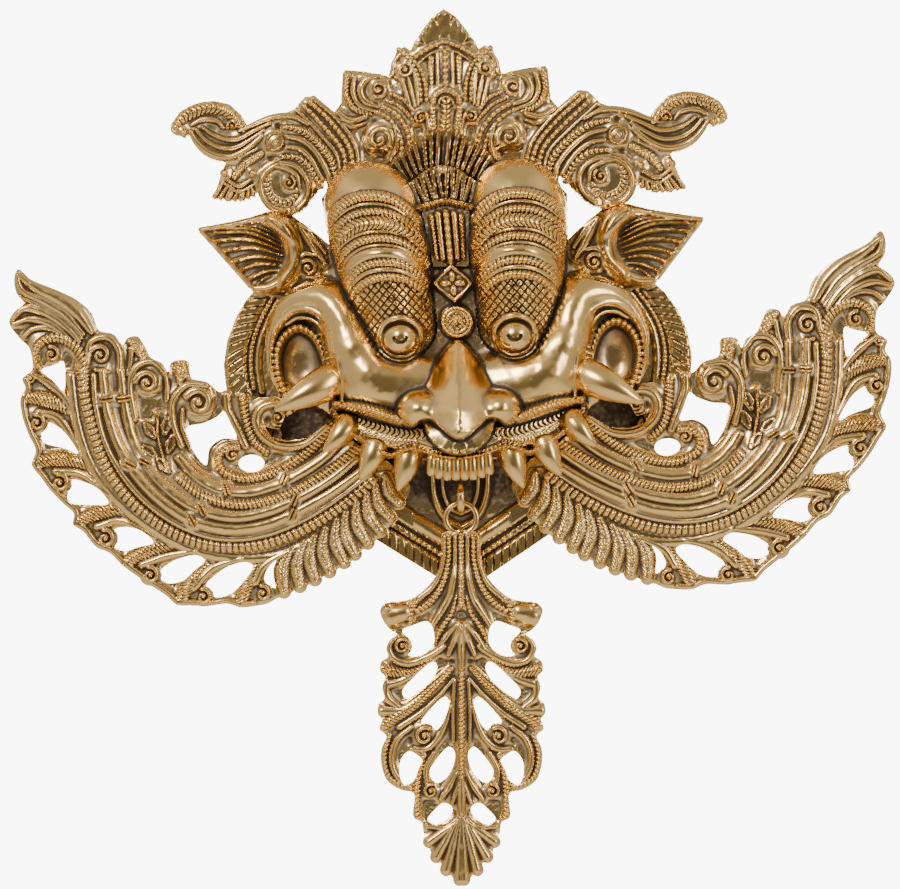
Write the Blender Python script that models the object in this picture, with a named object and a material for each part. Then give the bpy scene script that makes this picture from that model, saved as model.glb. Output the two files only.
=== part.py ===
"""Kirtimukha wall mask of cast brass: a crowned beast's head, two openwork wings and a hanging drop.

Sizes below are those of a mask 442 mm wide, in millimetres. MASK_WIDTH scales them all where they
become metres. X runs to the viewer's right, Z up, and the wall is the plane Y = 0 with the
viewer at -Y. Drawing heights are counted from the middle of the face; the model's origin is
HANGING_HEIGHT above it, on the flat back.
"""
import bpy
import numpy as np
from math import cos, pi, radians, sin
from mathutils import Vector

MASK_WIDTH = 0.442
DRAWN_WIDTH = 442.0
SCALE = MASK_WIDTH / DRAWN_WIDTH
HANGING_HEIGHT = 90.0
SHIELD_THICKNESS = 4.2
CROWN_THICKNESS = 8.0
SPRAY_THICKNESS = 7.0
EAR_THICKNESS = 7.0
FACE_DEPTH = 26.0
HOLLOW_HALF_WIDTH = 54.0
HOLLOW_HALF_HEIGHT = 56.0
HOLLOW_DEPTH = 36.0
WALL = 6.0
WING_GAP = 2.4
WING_THICKNESS = 4.4
WING_TURN = 3.2
WING_PIVOT = (35.0, -85.0)
LIP_CLEARANCE = 2.4
PENDANT_BACK = 14.0
PENDANT_THICKNESS = 4.5
PENDANT_TURN = -1.1
RING_CENTRE = (0.0, -18.0, -109.0)
RING_RADIUS = 7.75
RING_ROD = 1.55
HOOK_ROD = 1.8


def smooth(points, pace=1.5):
    """A smooth curve through the points, as a close polyline."""
    p = np.array(points, float)
    if len(p) < 3:
        n = max(2, int(np.hypot(*(p[-1] - p[0])) / pace) + 1)
        return p[0] + np.linspace(0, 1, n)[:, None] * (p[-1] - p[0])
    closed = np.allclose(p[0], p[-1])
    step = np.maximum(np.hypot(*np.diff(p, axis=0).T) ** 0.5, 1e-3)
    t = np.concatenate([[0], np.cumsum(step)])
    before = p[-2] if closed else 2 * p[0] - p[1]
    after = p[1] if closed else 2 * p[-1] - p[-2]
    q = np.vstack([before, p, after])
    knots = np.concatenate([[-(step[-1] if closed else step[0])], t, [t[-1] + (step[0] if closed else step[-1])]])
    out = []
    for k in range(1, len(q) - 2):
        t0, t1, t2, t3 = knots[k - 1:k + 3]
        p0, p1, p2, p3 = q[k - 1:k + 3]
        n = max(2, int(np.hypot(*(p2 - p1)) / pace) + 1)
        u = np.linspace(t1, t2, n, endpoint=False)[:, None]
        a1 = ((t1 - u) * p0 + (u - t0) * p1) / (t1 - t0)
        a2 = ((t2 - u) * p1 + (u - t1) * p2) / (t2 - t1)
        a3 = ((t3 - u) * p2 + (u - t2) * p3) / (t3 - t2)
        b1 = ((t2 - u) * a1 + (u - t0) * a2) / (t2 - t0)
        b2 = ((t3 - u) * a2 + (u - t1) * a3) / (t3 - t1)
        out.append(((t2 - u) * b1 + (u - t1) * b2) / (t2 - t1))
    return np.vstack([*out, p[-1:]])


def arc(centre, radius, start, end, shrink=1.0):
    """Points along an ellipse or, with shrink below 1, along a scroll. Angles are in degrees."""
    rx, rz = radius if isinstance(radius, tuple) else (radius, radius)
    n = max(5, int(abs(end - start) / 24) + 1)
    k = np.linspace(0, 1, n)
    a = np.radians(start + (end - start) * k)
    r = 1 + (shrink - 1) * k
    return np.column_stack([centre[0] + rx * r * np.cos(a), centre[1] + rz * r * np.sin(a)])


def along(values, t):
    values = np.atleast_1d(np.array(values, float))
    return np.interp(t, np.linspace(0, 1, len(values)), values) if len(values) > 1 else values[0] + 0 * t


SHAPES = {
    "round": lambda q: np.sqrt(1 - q**2),
    "ridge": lambda q: 1 - q,
    "bell": lambda q: (1 - q**2) ** 2,
    "swell": lambda q: (1 - q**2) ** 0.8,
    "nose": lambda q: 0.72 * (1 - q**2) ** 0.7 + 0.28 * (1 - q),
    "flat": lambda q: np.sqrt(np.minimum(1, 3 * (1 - q))),
}


def blurred(a, reach):
    """The mean over a square of 2 reach + 1 cells, taken twice."""
    for _ in range(2):
        for axis in (0, 1):
            pad = [(reach + 1, reach) if k == axis else (0, 0) for k in (0, 1)]
            total = np.cumsum(np.pad(a, pad, mode="edge"), axis=axis)
            n = a.shape[axis]
            late = np.take(total, np.arange(2 * reach + 1, 2 * reach + 1 + n), axis=axis)
            early = np.take(total, np.arange(n), axis=axis)
            a = (late - early) / (2 * reach + 1)
    return a


class Relief:
    """A carved ground: a height above the wall and a signed distance inside the outline."""

    def __init__(self, x0, x1, z0, z1, step, mirrored=True):
        self.step = step
        self.x = np.arange(x0, x1 + step / 2, step)
        self.z = np.arange(z0, z1 + step / 2, step)
        self.X, self.Z = np.meshgrid(self.x, self.z)
        self.h = np.zeros_like(self.X)
        self.ground = np.zeros_like(self.X)
        self.cover = np.full_like(self.X, -99.0)
        self.sides = (1, -1) if mirrored else (1,)
        self.floor = 0.0

    def window(self, low, high):
        j0, j1 = np.searchsorted(self.x, [low[0], high[0]])
        i0, i1 = np.searchsorted(self.z, [low[1], high[1]])
        return slice(max(i0 - 1, 0), i1 + 1), slice(max(j0 - 1, 0), j1 + 1)

    def copies(self, points):
        path = smooth(points)
        for side in self.sides:
            yield path * (side, 1)
            if np.allclose(path[:, 0], 0):
                return

    def near(self, path, reach):
        """Distance to a path and the share of its length that is passed there."""
        w = self.window(path.min(0) - reach, path.max(0) + reach)
        X, Z = self.X[w], self.Z[w]
        best = np.full(X.shape, 99.0)
        share = np.zeros(X.shape)
        steps = np.diff(path, axis=0)
        lengths = np.hypot(*steps.T)
        starts = np.concatenate([[0], np.cumsum(lengths)])
        for a, d, length, start in zip(path[:-1], steps, lengths, starts):
            if length < 1e-6:
                continue
            v = self.window(np.minimum(a, a + d) - reach, np.maximum(a, a + d) + reach)
            v = tuple(slice(max(s.start - o.start, 0), s.stop - o.start) for s, o in zip(v, w))
            px, pz = X[v] - a[0], Z[v] - a[1]
            u = np.clip((px * d[0] + pz * d[1]) / length**2, 0, 1)
            gap = np.hypot(px - u * d[0], pz - u * d[1])
            nearer = gap < best[v]
            best[v] = np.where(nearer, gap, best[v])
            share[v] = np.where(nearer, (start + u * length) / starts[-1], share[v])
        return w, best, share

    def lift(self, w, inside, value, cover, ground, blend=0.0):
        if ground:
            self.ground[w] = np.where(inside, np.maximum(self.ground[w], value), self.ground[w])
        old = self.h[w]
        top = np.maximum(old, value)
        if blend:
            top = top + np.maximum(blend - np.abs(old - value), 0) ** 2 / (4 * blend)
        self.h[w] = np.where(inside, top, old)
        if cover is not None:
            self.cover[w] = np.maximum(self.cover[w], cover)

    def base(self, w):
        return np.maximum(self.ground[w], self.floor)

    def rib(self, points, width, rise, shape="round", ground=False, grow=True, foot=0.0):
        """A raised band along a path; width is half its width, and it and rise may change along it."""
        for path in self.copies(points):
            w, d, t = self.near(path, np.max(width) + 2 * self.step)
            half = along(width, t)
            raised = along(rise, t) * SHAPES[shape](np.clip(d / half, 0, 1))
            self.lift(w, d < half, self.base(w) + foot + raised, half - d if grow else None, ground)

    def body(self, points, width, base, rise, shape="round", blend=0.0):
        """A rib that stands on a level of its own. The places that it takes are handed back."""
        taken = np.zeros(self.X.shape, bool)
        for path in self.copies(points):
            w, d, t = self.near(path, np.max(width) + 2 * self.step)
            half = along(width, t)
            value = along(base, t) + along(rise, t) * SHAPES[shape](np.clip(d / half, 0, 1))
            self.lift(w, d < half, value, None, False, blend)
            taken[w] |= d < half
        return taken

    def trim(self, points, width, rise, shape="round", within=None):
        """A band laid on whatever is there, and following it; a negative rise cuts it in."""
        for path in self.copies(points):
            w, d, t = self.near(path, np.max(width) + 2 * self.step)
            half = along(width, t)
            raised = along(rise, t) * SHAPES[shape](np.clip(d / half, 0, 1))
            if within is not None:
                raised = raised * within[w]
            self.h[w] += raised

    def outline(self, points, curved):
        points = np.array(points, float)
        if len(self.sides) > 1 and abs(points[0, 0]) + abs(points[-1, 0]) < 1e-6:
            points = np.vstack([points, points[-2:0:-1] * (-1, 1)])
        closed = np.vstack([points, points[:1]])
        path = smooth(closed) if curved else closed
        for side in self.sides:
            turn = path * (side, 1)
            w, d, t = self.near(turn, 4.0)
            X, Z = self.X[w], self.Z[w]
            inside = np.zeros(X.shape, bool)
            for (xa, za), (xb, zb) in zip(turn[:-1], turn[1:]):
                if za != zb:
                    inside ^= ((za > Z) != (zb > Z)) & (X < (xb - xa) * (Z - za) / (zb - za) + xa)
            yield w, np.where(inside, d, -d)

    def plate(self, points, level, curved=True, grow=True):
        """A flat piece of ground inside an outline; one that starts and ends at X = 0 is half of it."""
        self.floor = self.floor or level
        for w, signed in self.outline(points, curved):
            self.lift(w, signed > 0, level + 0 * signed, signed if grow else None, True)

    def hole(self, points, margin=0.0, curved=True):
        for w, signed in self.outline(points, curved):
            self.cover[w] = np.minimum(self.cover[w], -signed - margin)

    def dome(self, centre, radius, rise, ground=False, grow=True, power=0.5, foot=0.0):
        rx, rz = radius if isinstance(radius, tuple) else (radius, radius)
        for side in self.sides if centre[0] else (1,):
            c = np.array([centre[0] * side, centre[1]])
            w = self.window(c - (rx, rz), c + (rx, rz))
            q = ((self.X[w] - c[0]) / rx) ** 2 + ((self.Z[w] - c[1]) / rz) ** 2
            value = self.base(w) + foot + rise * np.clip(1 - q, 0, 1) ** power
            self.lift(w, q < 1, value, (1 - np.sqrt(q)) * min(rx, rz) if grow else None, ground)

    def volute(self, centre, radius, start, rise, hand=1, turns=1.2):
        """A scroll winding inwards from an angle in degrees; hand 1 winds anticlockwise."""
        band = radius * 0.3
        self.dome(centre, radius, rise * 0.25, power=0.2)
        path = arc(centre, radius - band * 0.8, start, start + hand * 360 * turns, 0.25)
        self.rib(path, [band, band * 0.55], rise)
        self.dome(centre, radius * 0.28, rise * 1.05)

    def fan(self, starts, ends, count, width, rise, bend=0.0, shape="round"):
        """Flutes that run from one curve to another."""
        a, b = smooth(starts), smooth(ends)
        for k in range(count):
            p, q = (c[int((k + 0.5) / count * (len(c) - 1))] for c in (a, b))
            middle = (p + q) / 2 + bend * np.array([q[1] - p[1], p[0] - q[0]])
            self.rib([p, middle, q], width, rise, shape)


# The mask

FACE_EDGE = [(-96, -20), (-95, -8), (-88, 2), (-70, 8), (-59.5, 30), (-61.5, 52), (-47, 70), (-26, 71),
             (0, 88), (26, 71), (47, 70), (61.5, 52), (59.5, 30), (70, 8), (88, 2), (95, -8), (96, -20),
             (95, -35), (89, -46), (80, -52), (68, -53), (62, -58), (57, -65), (50, -71), (42, -76),
             (34, -80), (26, -79), (16, -80), (0, -83), (-16, -80), (-26, -79), (-34, -80),
             (-42, -76), (-50, -71), (-57, -65), (-62, -58), (-68, -53), (-80, -52), (-89, -46), (-95, -35)]
EAR_GAP = [(-75, 42.5), (-69, 47.5), (-62, 49.5), (-60.5, 40), (-61, 32.5), (-68, 36.5)]


def carve_shield(r):
    half = [(0, 20), (-90, 20), (-100, 7), (-105, 2), (-111, -7), (-115.5, -18), (-117.5, -30),
            (-116.5, -42), (-110, -56), (-100, -69), (-80, -89), (-60, -106), (-43, -119), (-16, -136.5), (0, -147)]
    r.plate(half, SHIELD_THICKNESS, curved=False)
    r.rib([(-97.5, 7), (-105, -6), (-110.5, -19), (-111.5, -31), (-109.5, -44), (-102, -56), (-94, -66)], 5.8, 2.2, "flat",
          grow=False)
    r.rib([(-91, 4), (-98, -7), (-102.5, -18), (-104, -30), (-102.5, -43)], 1.2, 2.4, grow=False)
    r.rib([(-88, 2), (-94, -8), (-98.5, -18), (-100, -30), (-98.5, -44)], 1.8, 1.6, grow=False)
    r.rib([(-52, -109), (-38, -118.5), (-14, -134), (0, -142.5)], 5.4, 2.0, "flat", grow=False)
    r.rib([(-44, -105), (-33, -112.5), (-11, -126.8), (0, -134.5)], 1.7, 2.6, grow=False)
    r.rib([(-40, -99), (-29, -106.5), (-9, -119.5), (0, -126)], [4.4, 4.6, 4], 3.0, "swell", grow=False)
    r.rib([(-14, -84), (-13, -98), (-8, -109), (0, -114)], 1.7, 2.8, grow=False)
    r.rib([(-9, -86), (-8.4, -97), (-5, -104.5), (0, -107)], 1.2, 2.0, grow=False)


def carve_crown(r):
    half = [(0, 146), (-6, 142), (-11, 135.5), (-15.5, 129), (-17, 125.5), (-20, 127.5), (-24, 125.5),
            (-26.5, 119), (-28.5, 113), (-40, 115.5), (-50.5, 116.5), (-52, 108), (-52.5, 100), (-56, 95.5),
            (-66, 104), (-71, 103.5), (-77, 97), (-82, 88), (-70, 66), (-50, 60), (0, 60)]
    r.plate(half, CROWN_THICKNESS, curved=False)
    r.plate([(0, 122), (-14, 110), (-24, 92), (-38, 72), (-30, 50), (0, 50)], CROWN_THICKNESS + 3.5, grow=False)
    r.fan([(-0.6, 132), (-4.5, 130), (-8.5, 127)], [(0, 145.5), (-6.5, 141), (-11.3, 134.5), (-16, 126.8)], 6, [1.2, 1.9, 1.4], 3.4)
    r.rib([(-15.5, 122), (-8, 127.4), (0, 130)], 1.5, 4.2, grow=False)
    r.rib([(-13, 119), (-7, 123.6), (0, 126)], 0.9, 3, grow=False)
    r.rib([(0, 126), (0, 106)], 1.7, 4.4)
    r.rib([(-3.7, 123.5), (-3.7, 106)], [1.5, 1.2], 3.2)
    r.rib([(-7, 121), (-6.8, 106)], [1.9, 1.3], 3.2)
    r.rib([(-9.6, 99), (-10.4, 109), (-13.5, 117.5), (-20, 124.5)], 1.35, 4.0)
    r.rib([(-12.4, 99), (-13.2, 110), (-16.4, 118.8), (-23, 126)], 1.35, 3.6)
    r.volute((-20.4, 115.6), 5.2, 60, 4.2, -1)
    r.rib([(-16.6, 118), (-14.6, 109), (-14, 98)], [1, 1.6, 1.2], 3.2)
    r.rib([(-18.6, 111.6), (-17, 104), (-15.6, 97)], [1, 1.6, 1.2], 3)
    r.rib([(-21.5, 110.6), (-19.6, 103), (-17.6, 96)], [1, 1.5, 1.2], 2.6)
    r.rib([(-26.5, 113.5), (-25.5, 119.5), (-22, 124)], 1.3, 2.4)
    r.rib(arc((0, 98.5), 6.6, 0, 180), 1.9, 5.0)
    r.rib(arc((0, 98), 3.6, 0, 180), 1.0, 4.0)
    r.rib([(-6.8, 98), (-6.2, 86)], [1.8, 2.4], 3.6)
    r.rib([(0, 100), (0, 84)], 3.3, 4.0)
    r.volute((-12.6, 91.5), 3.8, 90, 3.8, 1)
    r.rib([(-9.8, 93), (-8.2, 86), (-9, 80)], 1.3, 3.4)
    r.volute((-33.6, 106.4), 5.6, 250, 4.8, 1)
    r.rib([(-34, 97.6), (-40.5, 100.4), (-42.6, 106), (-40, 111), (-33, 113)], [1.4, 2.2, 2.2, 2, 1.2], 3.4)
    r.rib([(-35.4, 95.4), (-43.4, 98.6), (-46.4, 105), (-45.4, 112.6)], [1.2, 1.6, 1.6, 1.2], 3.0)
    r.rib([(-49.6, 114), (-49.8, 103.5), (-46, 97.2), (-38, 93.6)], 1.9, 2.8)
    r.rib([(-54.5, 95), (-48, 91), (-40, 92.5)], [1.2, 2.2, 1.4], 3.4)
    r.rib([(-53, 91.5), (-46, 88), (-40.5, 89.5)], [1, 1.8, 1], 2.8)
    r.rib([(-66.5, 102.4), (-53.4, 91), (-44, 78), (-41.6, 66)], 1.3, 3.0)
    r.rib([(-69.2, 101.5), (-56, 89), (-47, 77), (-44.6, 66)], 1.6, 3.8)
    r.rib([(-72.2, 99.4), (-59.2, 86.6), (-50.2, 75.4), (-48, 65)], 1.6, 3.8)
    r.rib([(-75, 96.8), (-62, 84), (-53.2, 73.8), (-51, 64)], 1.2, 3.0)
    r.volute((-32.6, 81.2), 8.6, 330, 5.4, 1)
    r.rib([(-24.3, 86), (-23.6, 78), (-26, 70)], 1.9, 4.2)
    r.rib([(-35.6, 95.4), (-28, 91), (-21.8, 81.5), (-20.6, 72)], 1.6, 4.0)
    r.rib([(-32.6, 98), (-24.8, 93.4), (-18.4, 84), (-17, 76)], 1.6, 4.0)
    r.rib([(-30.4, 101), (-22.6, 97), (-16.4, 90)], 1.3, 3.2)
    r.rib([(-28.5, 104), (-21.6, 101), (-16.6, 95.5)], 1.3, 2.8)


def carve_comb(r):
    r.plate([(0, 50), (-26, 50), (-30, -20), (0, -30)], 25, curved=False, grow=False)
    r.plate([(0, 85), (-7, 84), (-12.5, 82), (-17.5, 78.5), (-22, 73.5), (-27, 66), (-21, 57), (0, 50)], 22, grow=False)
    r.fan([(-1, 66), (-9, 65), (-19, 59)], [(-1.5, 84), (-8, 83), (-14, 80), (-19.5, 76), (-25.5, 67.5)], 7, [1.1, 1.45], 3.4, shape="flat")
    r.plate([(0, 67), (-7, 65), (-17, 58), (-20, 54), (-15, 46.5), (0, 50)], 28, curved=False, grow=False)
    r.fan([(-1, 51), (-14, 47)], [(-1.4, 66), (-6.5, 64.6), (-12, 61), (-18, 56)], 6, [1.0, 1.5], 3.0, shape="flat")
    r.dome((0, 64), 2.6, 4.5, grow=False)
    r.plate([(0, 50), (-15, 46.5), (-11, 5), (-12, -14), (-8, -24), (0, -24)], 31, curved=False, grow=False)
    r.rib([(-16.5, 44), (0, 48.5)], 3.3, 6.5, "ridge", grow=False)
    r.plate([(0, 46), (-12, 44), (-9, 16), (0, 16)], 33.5, curved=False, grow=False)
    r.rib([(0, 43), (0, 18)], 1.9, 5, grow=False)
    r.rib([(-3.9, 42), (-3.5, 20)], [1.8, 1.5], 3.4, grow=False)
    r.rib([(-7.4, 41), (-6.6, 20)], [1.5, 1.2], 2.6, grow=False)
    r.plate([(0, 17.6), (-10, 7.5), (0, -2.6), (10, 7.5)], 37, curved=False, grow=False)
    r.rib([(0, 16), (-8.4, 7.5), (0, -1)], 1.1, 2.4, grow=False)
    for petal, size in (((0, 11), (1.7, 2.9)), ((-3.5, 7.5), (2.9, 1.7)), ((0, 4), (1.7, 2.9))):
        r.dome(petal, size, 2.2, grow=False)
    r.dome((0, -11.6), 8.4, 6.5, grow=False, ground=True, power=0.25)
    r.rib(arc((0, -11.6), 7.4, 0, 360), 1.2, 1.4, grow=False)
    r.rib(arc((0, -11.6), 5.2, 0, 360), 0.7, 0.9, grow=False)


def carve_spray(r):
    r.plate([(-60, 60), (-75, 98), (-85, 94), (-95, 91.5), (-101, 90), (-104, 95), (-110, 100.5),
             (-118, 102.4), (-127.7, 100.7), (-135.4, 96.3), (-139.7, 90.5), (-138, 86), (-133, 84.6),
             (-129, 87), (-127, 85), (-122, 79), (-117, 75), (-111, 72), (-113, 67), (-118, 54),
             (-110, 53), (-100, 54), (-94.5, 56), (-91.5, 50), (-83.5, 44.6), (-76, 46), (-66.5, 52)],
            SPRAY_THICKNESS, curved=False)
    r.rib([(-137.5, 88.5), (-134, 93.5), (-127.5, 97.2), (-119.5, 98.8), (-112, 97), (-106, 92), (-102.6, 87)],
          [2, 3.4, 3.5, 3.4, 3.4, 3, 1.6], 3.4)
    r.dome((-132.6, 86.6), 2.2, 4.4)
    r.rib([(-129, 90.5), (-123.5, 93), (-116, 92), (-113, 88.5)], [1.2, 1.9, 1.7, 1], 3.6)
    r.volute((-108.4, 89.6), 3.6, 200, 3.4, -1)
    r.rib([(-129.4, 87), (-125, 80.5), (-118, 75.4), (-109, 74), (-101, 77.5), (-93, 84)], [1.4, 2.1, 2.2, 2, 1.8], 4.2)
    r.rib([(-126.5, 88), (-121.4, 82.4), (-115, 79), (-107, 78.6), (-99, 82.4), (-92, 87)], [1.2, 1.6, 1.7, 1.6, 1.4], 3.6)
    r.rib([(-123.4, 89), (-118, 85.2), (-112, 83), (-105, 83), (-98, 86.4), (-89, 90.4)], [1, 1.5, 1.6, 1.5, 1.4], 4.0)
    r.rib([(-105, 86.8), (-98, 89.6), (-88, 93.2), (-77, 93.6), (-69, 89.5)], [1, 1.6, 1.8, 1.8, 1.2], 3.6)
    r.rib([(-106.5, 64), (-101.5, 70), (-92.5, 75.4)], [2, 2.8, 2.2], 3.4)
    r.rib([(-104.6, 73), (-96, 77.6)], 1.1, 2.6)
    r.dome((-112, 66), 2.2, 4.6)
    r.dome((-97, 65.6), 2.2, 4.6)
    r.rib([(-111, 63), (-105, 59.4), (-98.2, 62.4)], [1, 1.6, 1], 3.6)
    r.rib([(-111.6, 60.6), (-105, 56.6), (-96.6, 60)], 1.0, 2.8)
    r.fan([(-112.4, 62), (-105, 57.4), (-96.5, 59.5)], [(-117.4, 54.4), (-110, 53.2), (-103, 53.2), (-96, 55.6)], 9, [0.9, 1.3], 2.6)
    r.dome((-85.8, 81), 5.6, 4.4, power=0.3)
    r.rib(arc((-85.8, 81), 4.2, 0, 360), 0.9, 5.2)
    r.dome((-85.8, 81), 1.9, 6.0)
    r.rib([(-81, 88.6), (-72, 86.4), (-63.5, 80), (-56, 71), (-53, 62)], [1.6, 2.7, 2.8, 2.7, 2], 4.0)
    r.rib([(-79.6, 83.6), (-72, 81.8), (-65, 76.6), (-57.6, 66), (-56, 58)], [1.6, 2, 2, 1.8], 4.6)
    r.rib([(-79.6, 78.6), (-73, 77.6), (-66.6, 72.6), (-60, 62)], [1.4, 1.9, 1.9, 1.6], 4.4)
    r.rib([(-82, 73.4), (-74, 73), (-67.4, 68.6), (-61.4, 59)], [1.6, 2.5, 2.5, 1.8], 3.8)
    r.dome((-80.4, 58), (14.6, 13.8), 2.0, power=0.25)
    r.rib(arc((-80.4, 58), (12.6, 12), -60, 265), 2.0, 4.8)
    r.rib([(-86.6, 67.6), (-90, 60.5), (-88, 53.4), (-81.6, 50), (-75.6, 52.4), (-74, 57)], [1.6, 2.8, 3.2, 3.2, 2.6, 1.6], 3.2)
    r.rib([(-84.4, 68.6), (-79, 67.6), (-73.6, 64), (-72.4, 58.6)], [1.4, 2, 2, 1.4], 5.0)
    r.volute((-78, 60.4), 4.6, 60, 5.0, -1)


def carve_ear(r):
    r.plate([(-126.5, 39), (-119, 40), (-110, 41.3), (-98, 44), (-90, 46.5), (-78, 44.5), (-70, 38),
             (-64, 33), (-50, 20), (-56, -2), (-80, 0), (-99, 6), (-103, 12), (-110, 20), (-118, 30)],
            EAR_THICKNESS, curved=False)
    r.plate([(-90, 43), (-82, 42), (-70, 36), (-60, 30), (-55, 5), (-70, 4), (-86, 9), (-79, 18), (-77, 30)],
            EAR_THICKNESS + 4, grow=False)
    r.rib([(-100, 42), (-90, 42.6), (-83, 38.4), (-78.8, 30), (-79, 21), (-84, 13), (-92, 8.6), (-100, 8)],
          [1.6, 3, 3.6, 3.6, 3.4, 3.2, 2.8, 1.8], [4, 6.5, 8, 8, 7, 6, 5, 3.5])
    r.rib([(-125.4, 38), (-112, 39.6), (-100, 42)], [1.2, 1.8, 1.6], 3.6)
    r.rib([(-125, 37), (-118, 29), (-110, 19.4), (-102, 9.6)], [1.2, 1.6, 1.6], 2.6)
    r.fan([(-86, 36), (-84.6, 30), (-84, 24), (-85.6, 18), (-89, 13.4)],
          [(-96, 41), (-112, 38.4), (-121, 34.5), (-115, 26), (-109, 19.5), (-102, 11.6), (-94, 9.4)], 10, [0.8, 1.9, 1.5], 3.0, 0.1,
          shape="ridge")
    r.rib([(-76, 41), (-71.6, 34), (-67, 26), (-62.6, 20)], [1.4, 2.4, 2.2, 1.4], 3.4)
    r.rib([(-72, 39.6), (-67.4, 32.6), (-62, 25)], [1.2, 1.8, 1.4], 2.8)
    r.volute((-71.4, 17.6), 5.4, 130, 4.4, -1)
    r.rib([(-77.6, 19), (-73, 24.4), (-67, 23.6)], [1, 1.8, 1], 3.6)
    r.rib([(-67, 13.6), (-61, 9.6), (-56, 3)], 1.9, 3.4)
    r.rib([(-80, 7), (-73, 9.6), (-66, 9.4)], [0.9, 1.6, 0.9], 3)
    r.rib([(-84, 4.6), (-76, 6.2), (-68, 5.2)], [0.9, 1.4, 0.9], 2.4)


BROW_HEIGHTS = (-12.5, 0, 12.5, 25, 36, 45.5)
BROW_MIDDLE = (27.8, 30.5, 32.3, 33.3, 35, 36.5)
BROW_HALF = (18, 20.5, 23, 24.5, 25, 24)


def brow_band(r, rolls, height, width, rise):
    """A band across both brow rolls, bowed over them."""
    c, half = (np.interp(height, BROW_HEIGHTS, sizes) for sizes in (BROW_MIDDLE, BROW_HALF))
    bow = [(half * u - c, height - 13.5 * abs(u) ** 2.4) for u in (-1.02, -0.86, -0.64, -0.36, 0, 0.36, 0.64, 0.86, 1.02)]
    r.trim(bow, width, rise, within=rolls)


LIP = [(-61.4, -53.6), (-56.8, -61.6), (-49.2, -68.2), (-41.4, -73.2), (-34.6, -76.6), (-29, -75), (-22.5, -73.6),
       (-16.5, -75.6), (-10, -77.6), (0, -79)]
PEARLS = [(-58.6, -54), (-61.4, -47), (-64, -37), (-66.8, -25), (-71.6, -16), (-79, -12.2), (-86.4, -16.4),
          (-90.4, -26), (-89.6, -36), (-86.5, -45)]
NOSE_EDGE = [(0, -20.5), (-4, -22.6), (-8, -27.2), (-10.75, -31), (-13.5, -35.5), (-15.75, -40), (-18.4, -43.8), (-22.4, -44.6),
             (-26.8, -46.8), (-30, -50.6), (-31.4, -55), (-30.6, -59.4), (-27, -63), (-22.6, -63.6), (-18.6, -61.2),
             (-14.6, -60.4), (-10.4, -63.6), (-5.6, -68), (-2.4, -70), (0, -70.4)]


def carve_face(r):
    r.plate(FACE_EDGE, 11, curved=False)
    r.dome((0, -24), (84, 60), FACE_DEPTH - 6, ground=True, grow=False, power=0.7)
    r.body([(-90, -45), (-94, -32), (-93.4, -17), (-88, -6)], [2.6, 3.4, 4, 4.6], 11, [5, 8, 9, 9], "swell", blend=2)
    r.body([(-90, -10), (-84, -3), (-74, 1.5), (-64, 0), (-57, -9), (-54, -22)], [5.4, 8.2, 11, 13, 13, 14],
           [12, 14, 17, 21, 24, 27], [7, 11, 13, 14, 14, 13], "swell", blend=5)
    r.body([(-50, -26), (-43, -38), (-34, -43), (-22, -45), (-10, -46)], [16, 20, 21.5, 19, 16], [27, 29, 31, 33, 34],
           [15, 16.5, 14.5, 11, 8], "swell", blend=6)
    r.h = np.where(r.Z < 10, blurred(r.h, round(2 / r.step)), r.h)
    r.body([(-88, -9), (-80, -3.4), (-70.6, -4.4), (-63, -12.5), (-60.2, -25), (-58, -38), (-57.4, -50)],
           2.3, [14, 18, 21, 23, 24, 24, 24], [6, 8, 10, 12, 14, 14, 13], blend=2)
    r.body([(-85, -10.4), (-79, -7.4), (-71.4, -8.8), (-66, -16), (-63.4, -27), (-61.2, -39), (-60, -50)],
           1.9, [12, 15, 18, 20, 20, 20, 20], [6, 8, 9, 11, 13, 13, 12], blend=1)
    q = np.minimum(1, ((np.abs(r.X) - 78.4) / 12.4) ** 2 + ((r.Z + 29.5) / 17.4) ** 2)
    r.h = np.where(q < 1, 7 + 9 * q**1.5, r.h)
    r.ground = np.where(q < 1, 0, r.ground)
    r.body(PEARLS, 2.4, [22, 21, 20, 18, 16, 14, 12, 11, 10, 9], 6.5)
    rolls = r.body([(-x, z) for x, z in zip(BROW_MIDDLE, BROW_HEIGHTS)][::-1], BROW_HALF[::-1], 22, [27, 30, 32, 32.5, 31.5, 30])
    for height, width, rise in ((51, 2.8, 3.4), (47, 0.9, 1.4), (43.2, 2.1, 2.6),
                                      (37.6, 3.6, 3.2), (33.2, 0.8, 1.2), (29.8, 2.1, 2.6),
                                      (26.4, 0.8, 1.2), (22.6, 2.8, 2.2), (17.8, 2.1, 2.6),
                                      (14.4, 1.2, 1.4), (10.6, 2.1, 2.7)):
        brow_band(r, rolls, height, width, rise)


def carve_eyes(r):
    r.body([(-28.2, -19.4), (-28.3, -19.4)], 9.8, 43, 13, "round", blend=2)
    r.trim(arc((-28.2, -19.4), (10.8, 10), 0, 360), 1.6, 3.4)
    r.trim(arc((-28.2, -19.7), (8.3, 7.6), 0, 360), 0.7, -1.0)


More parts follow.
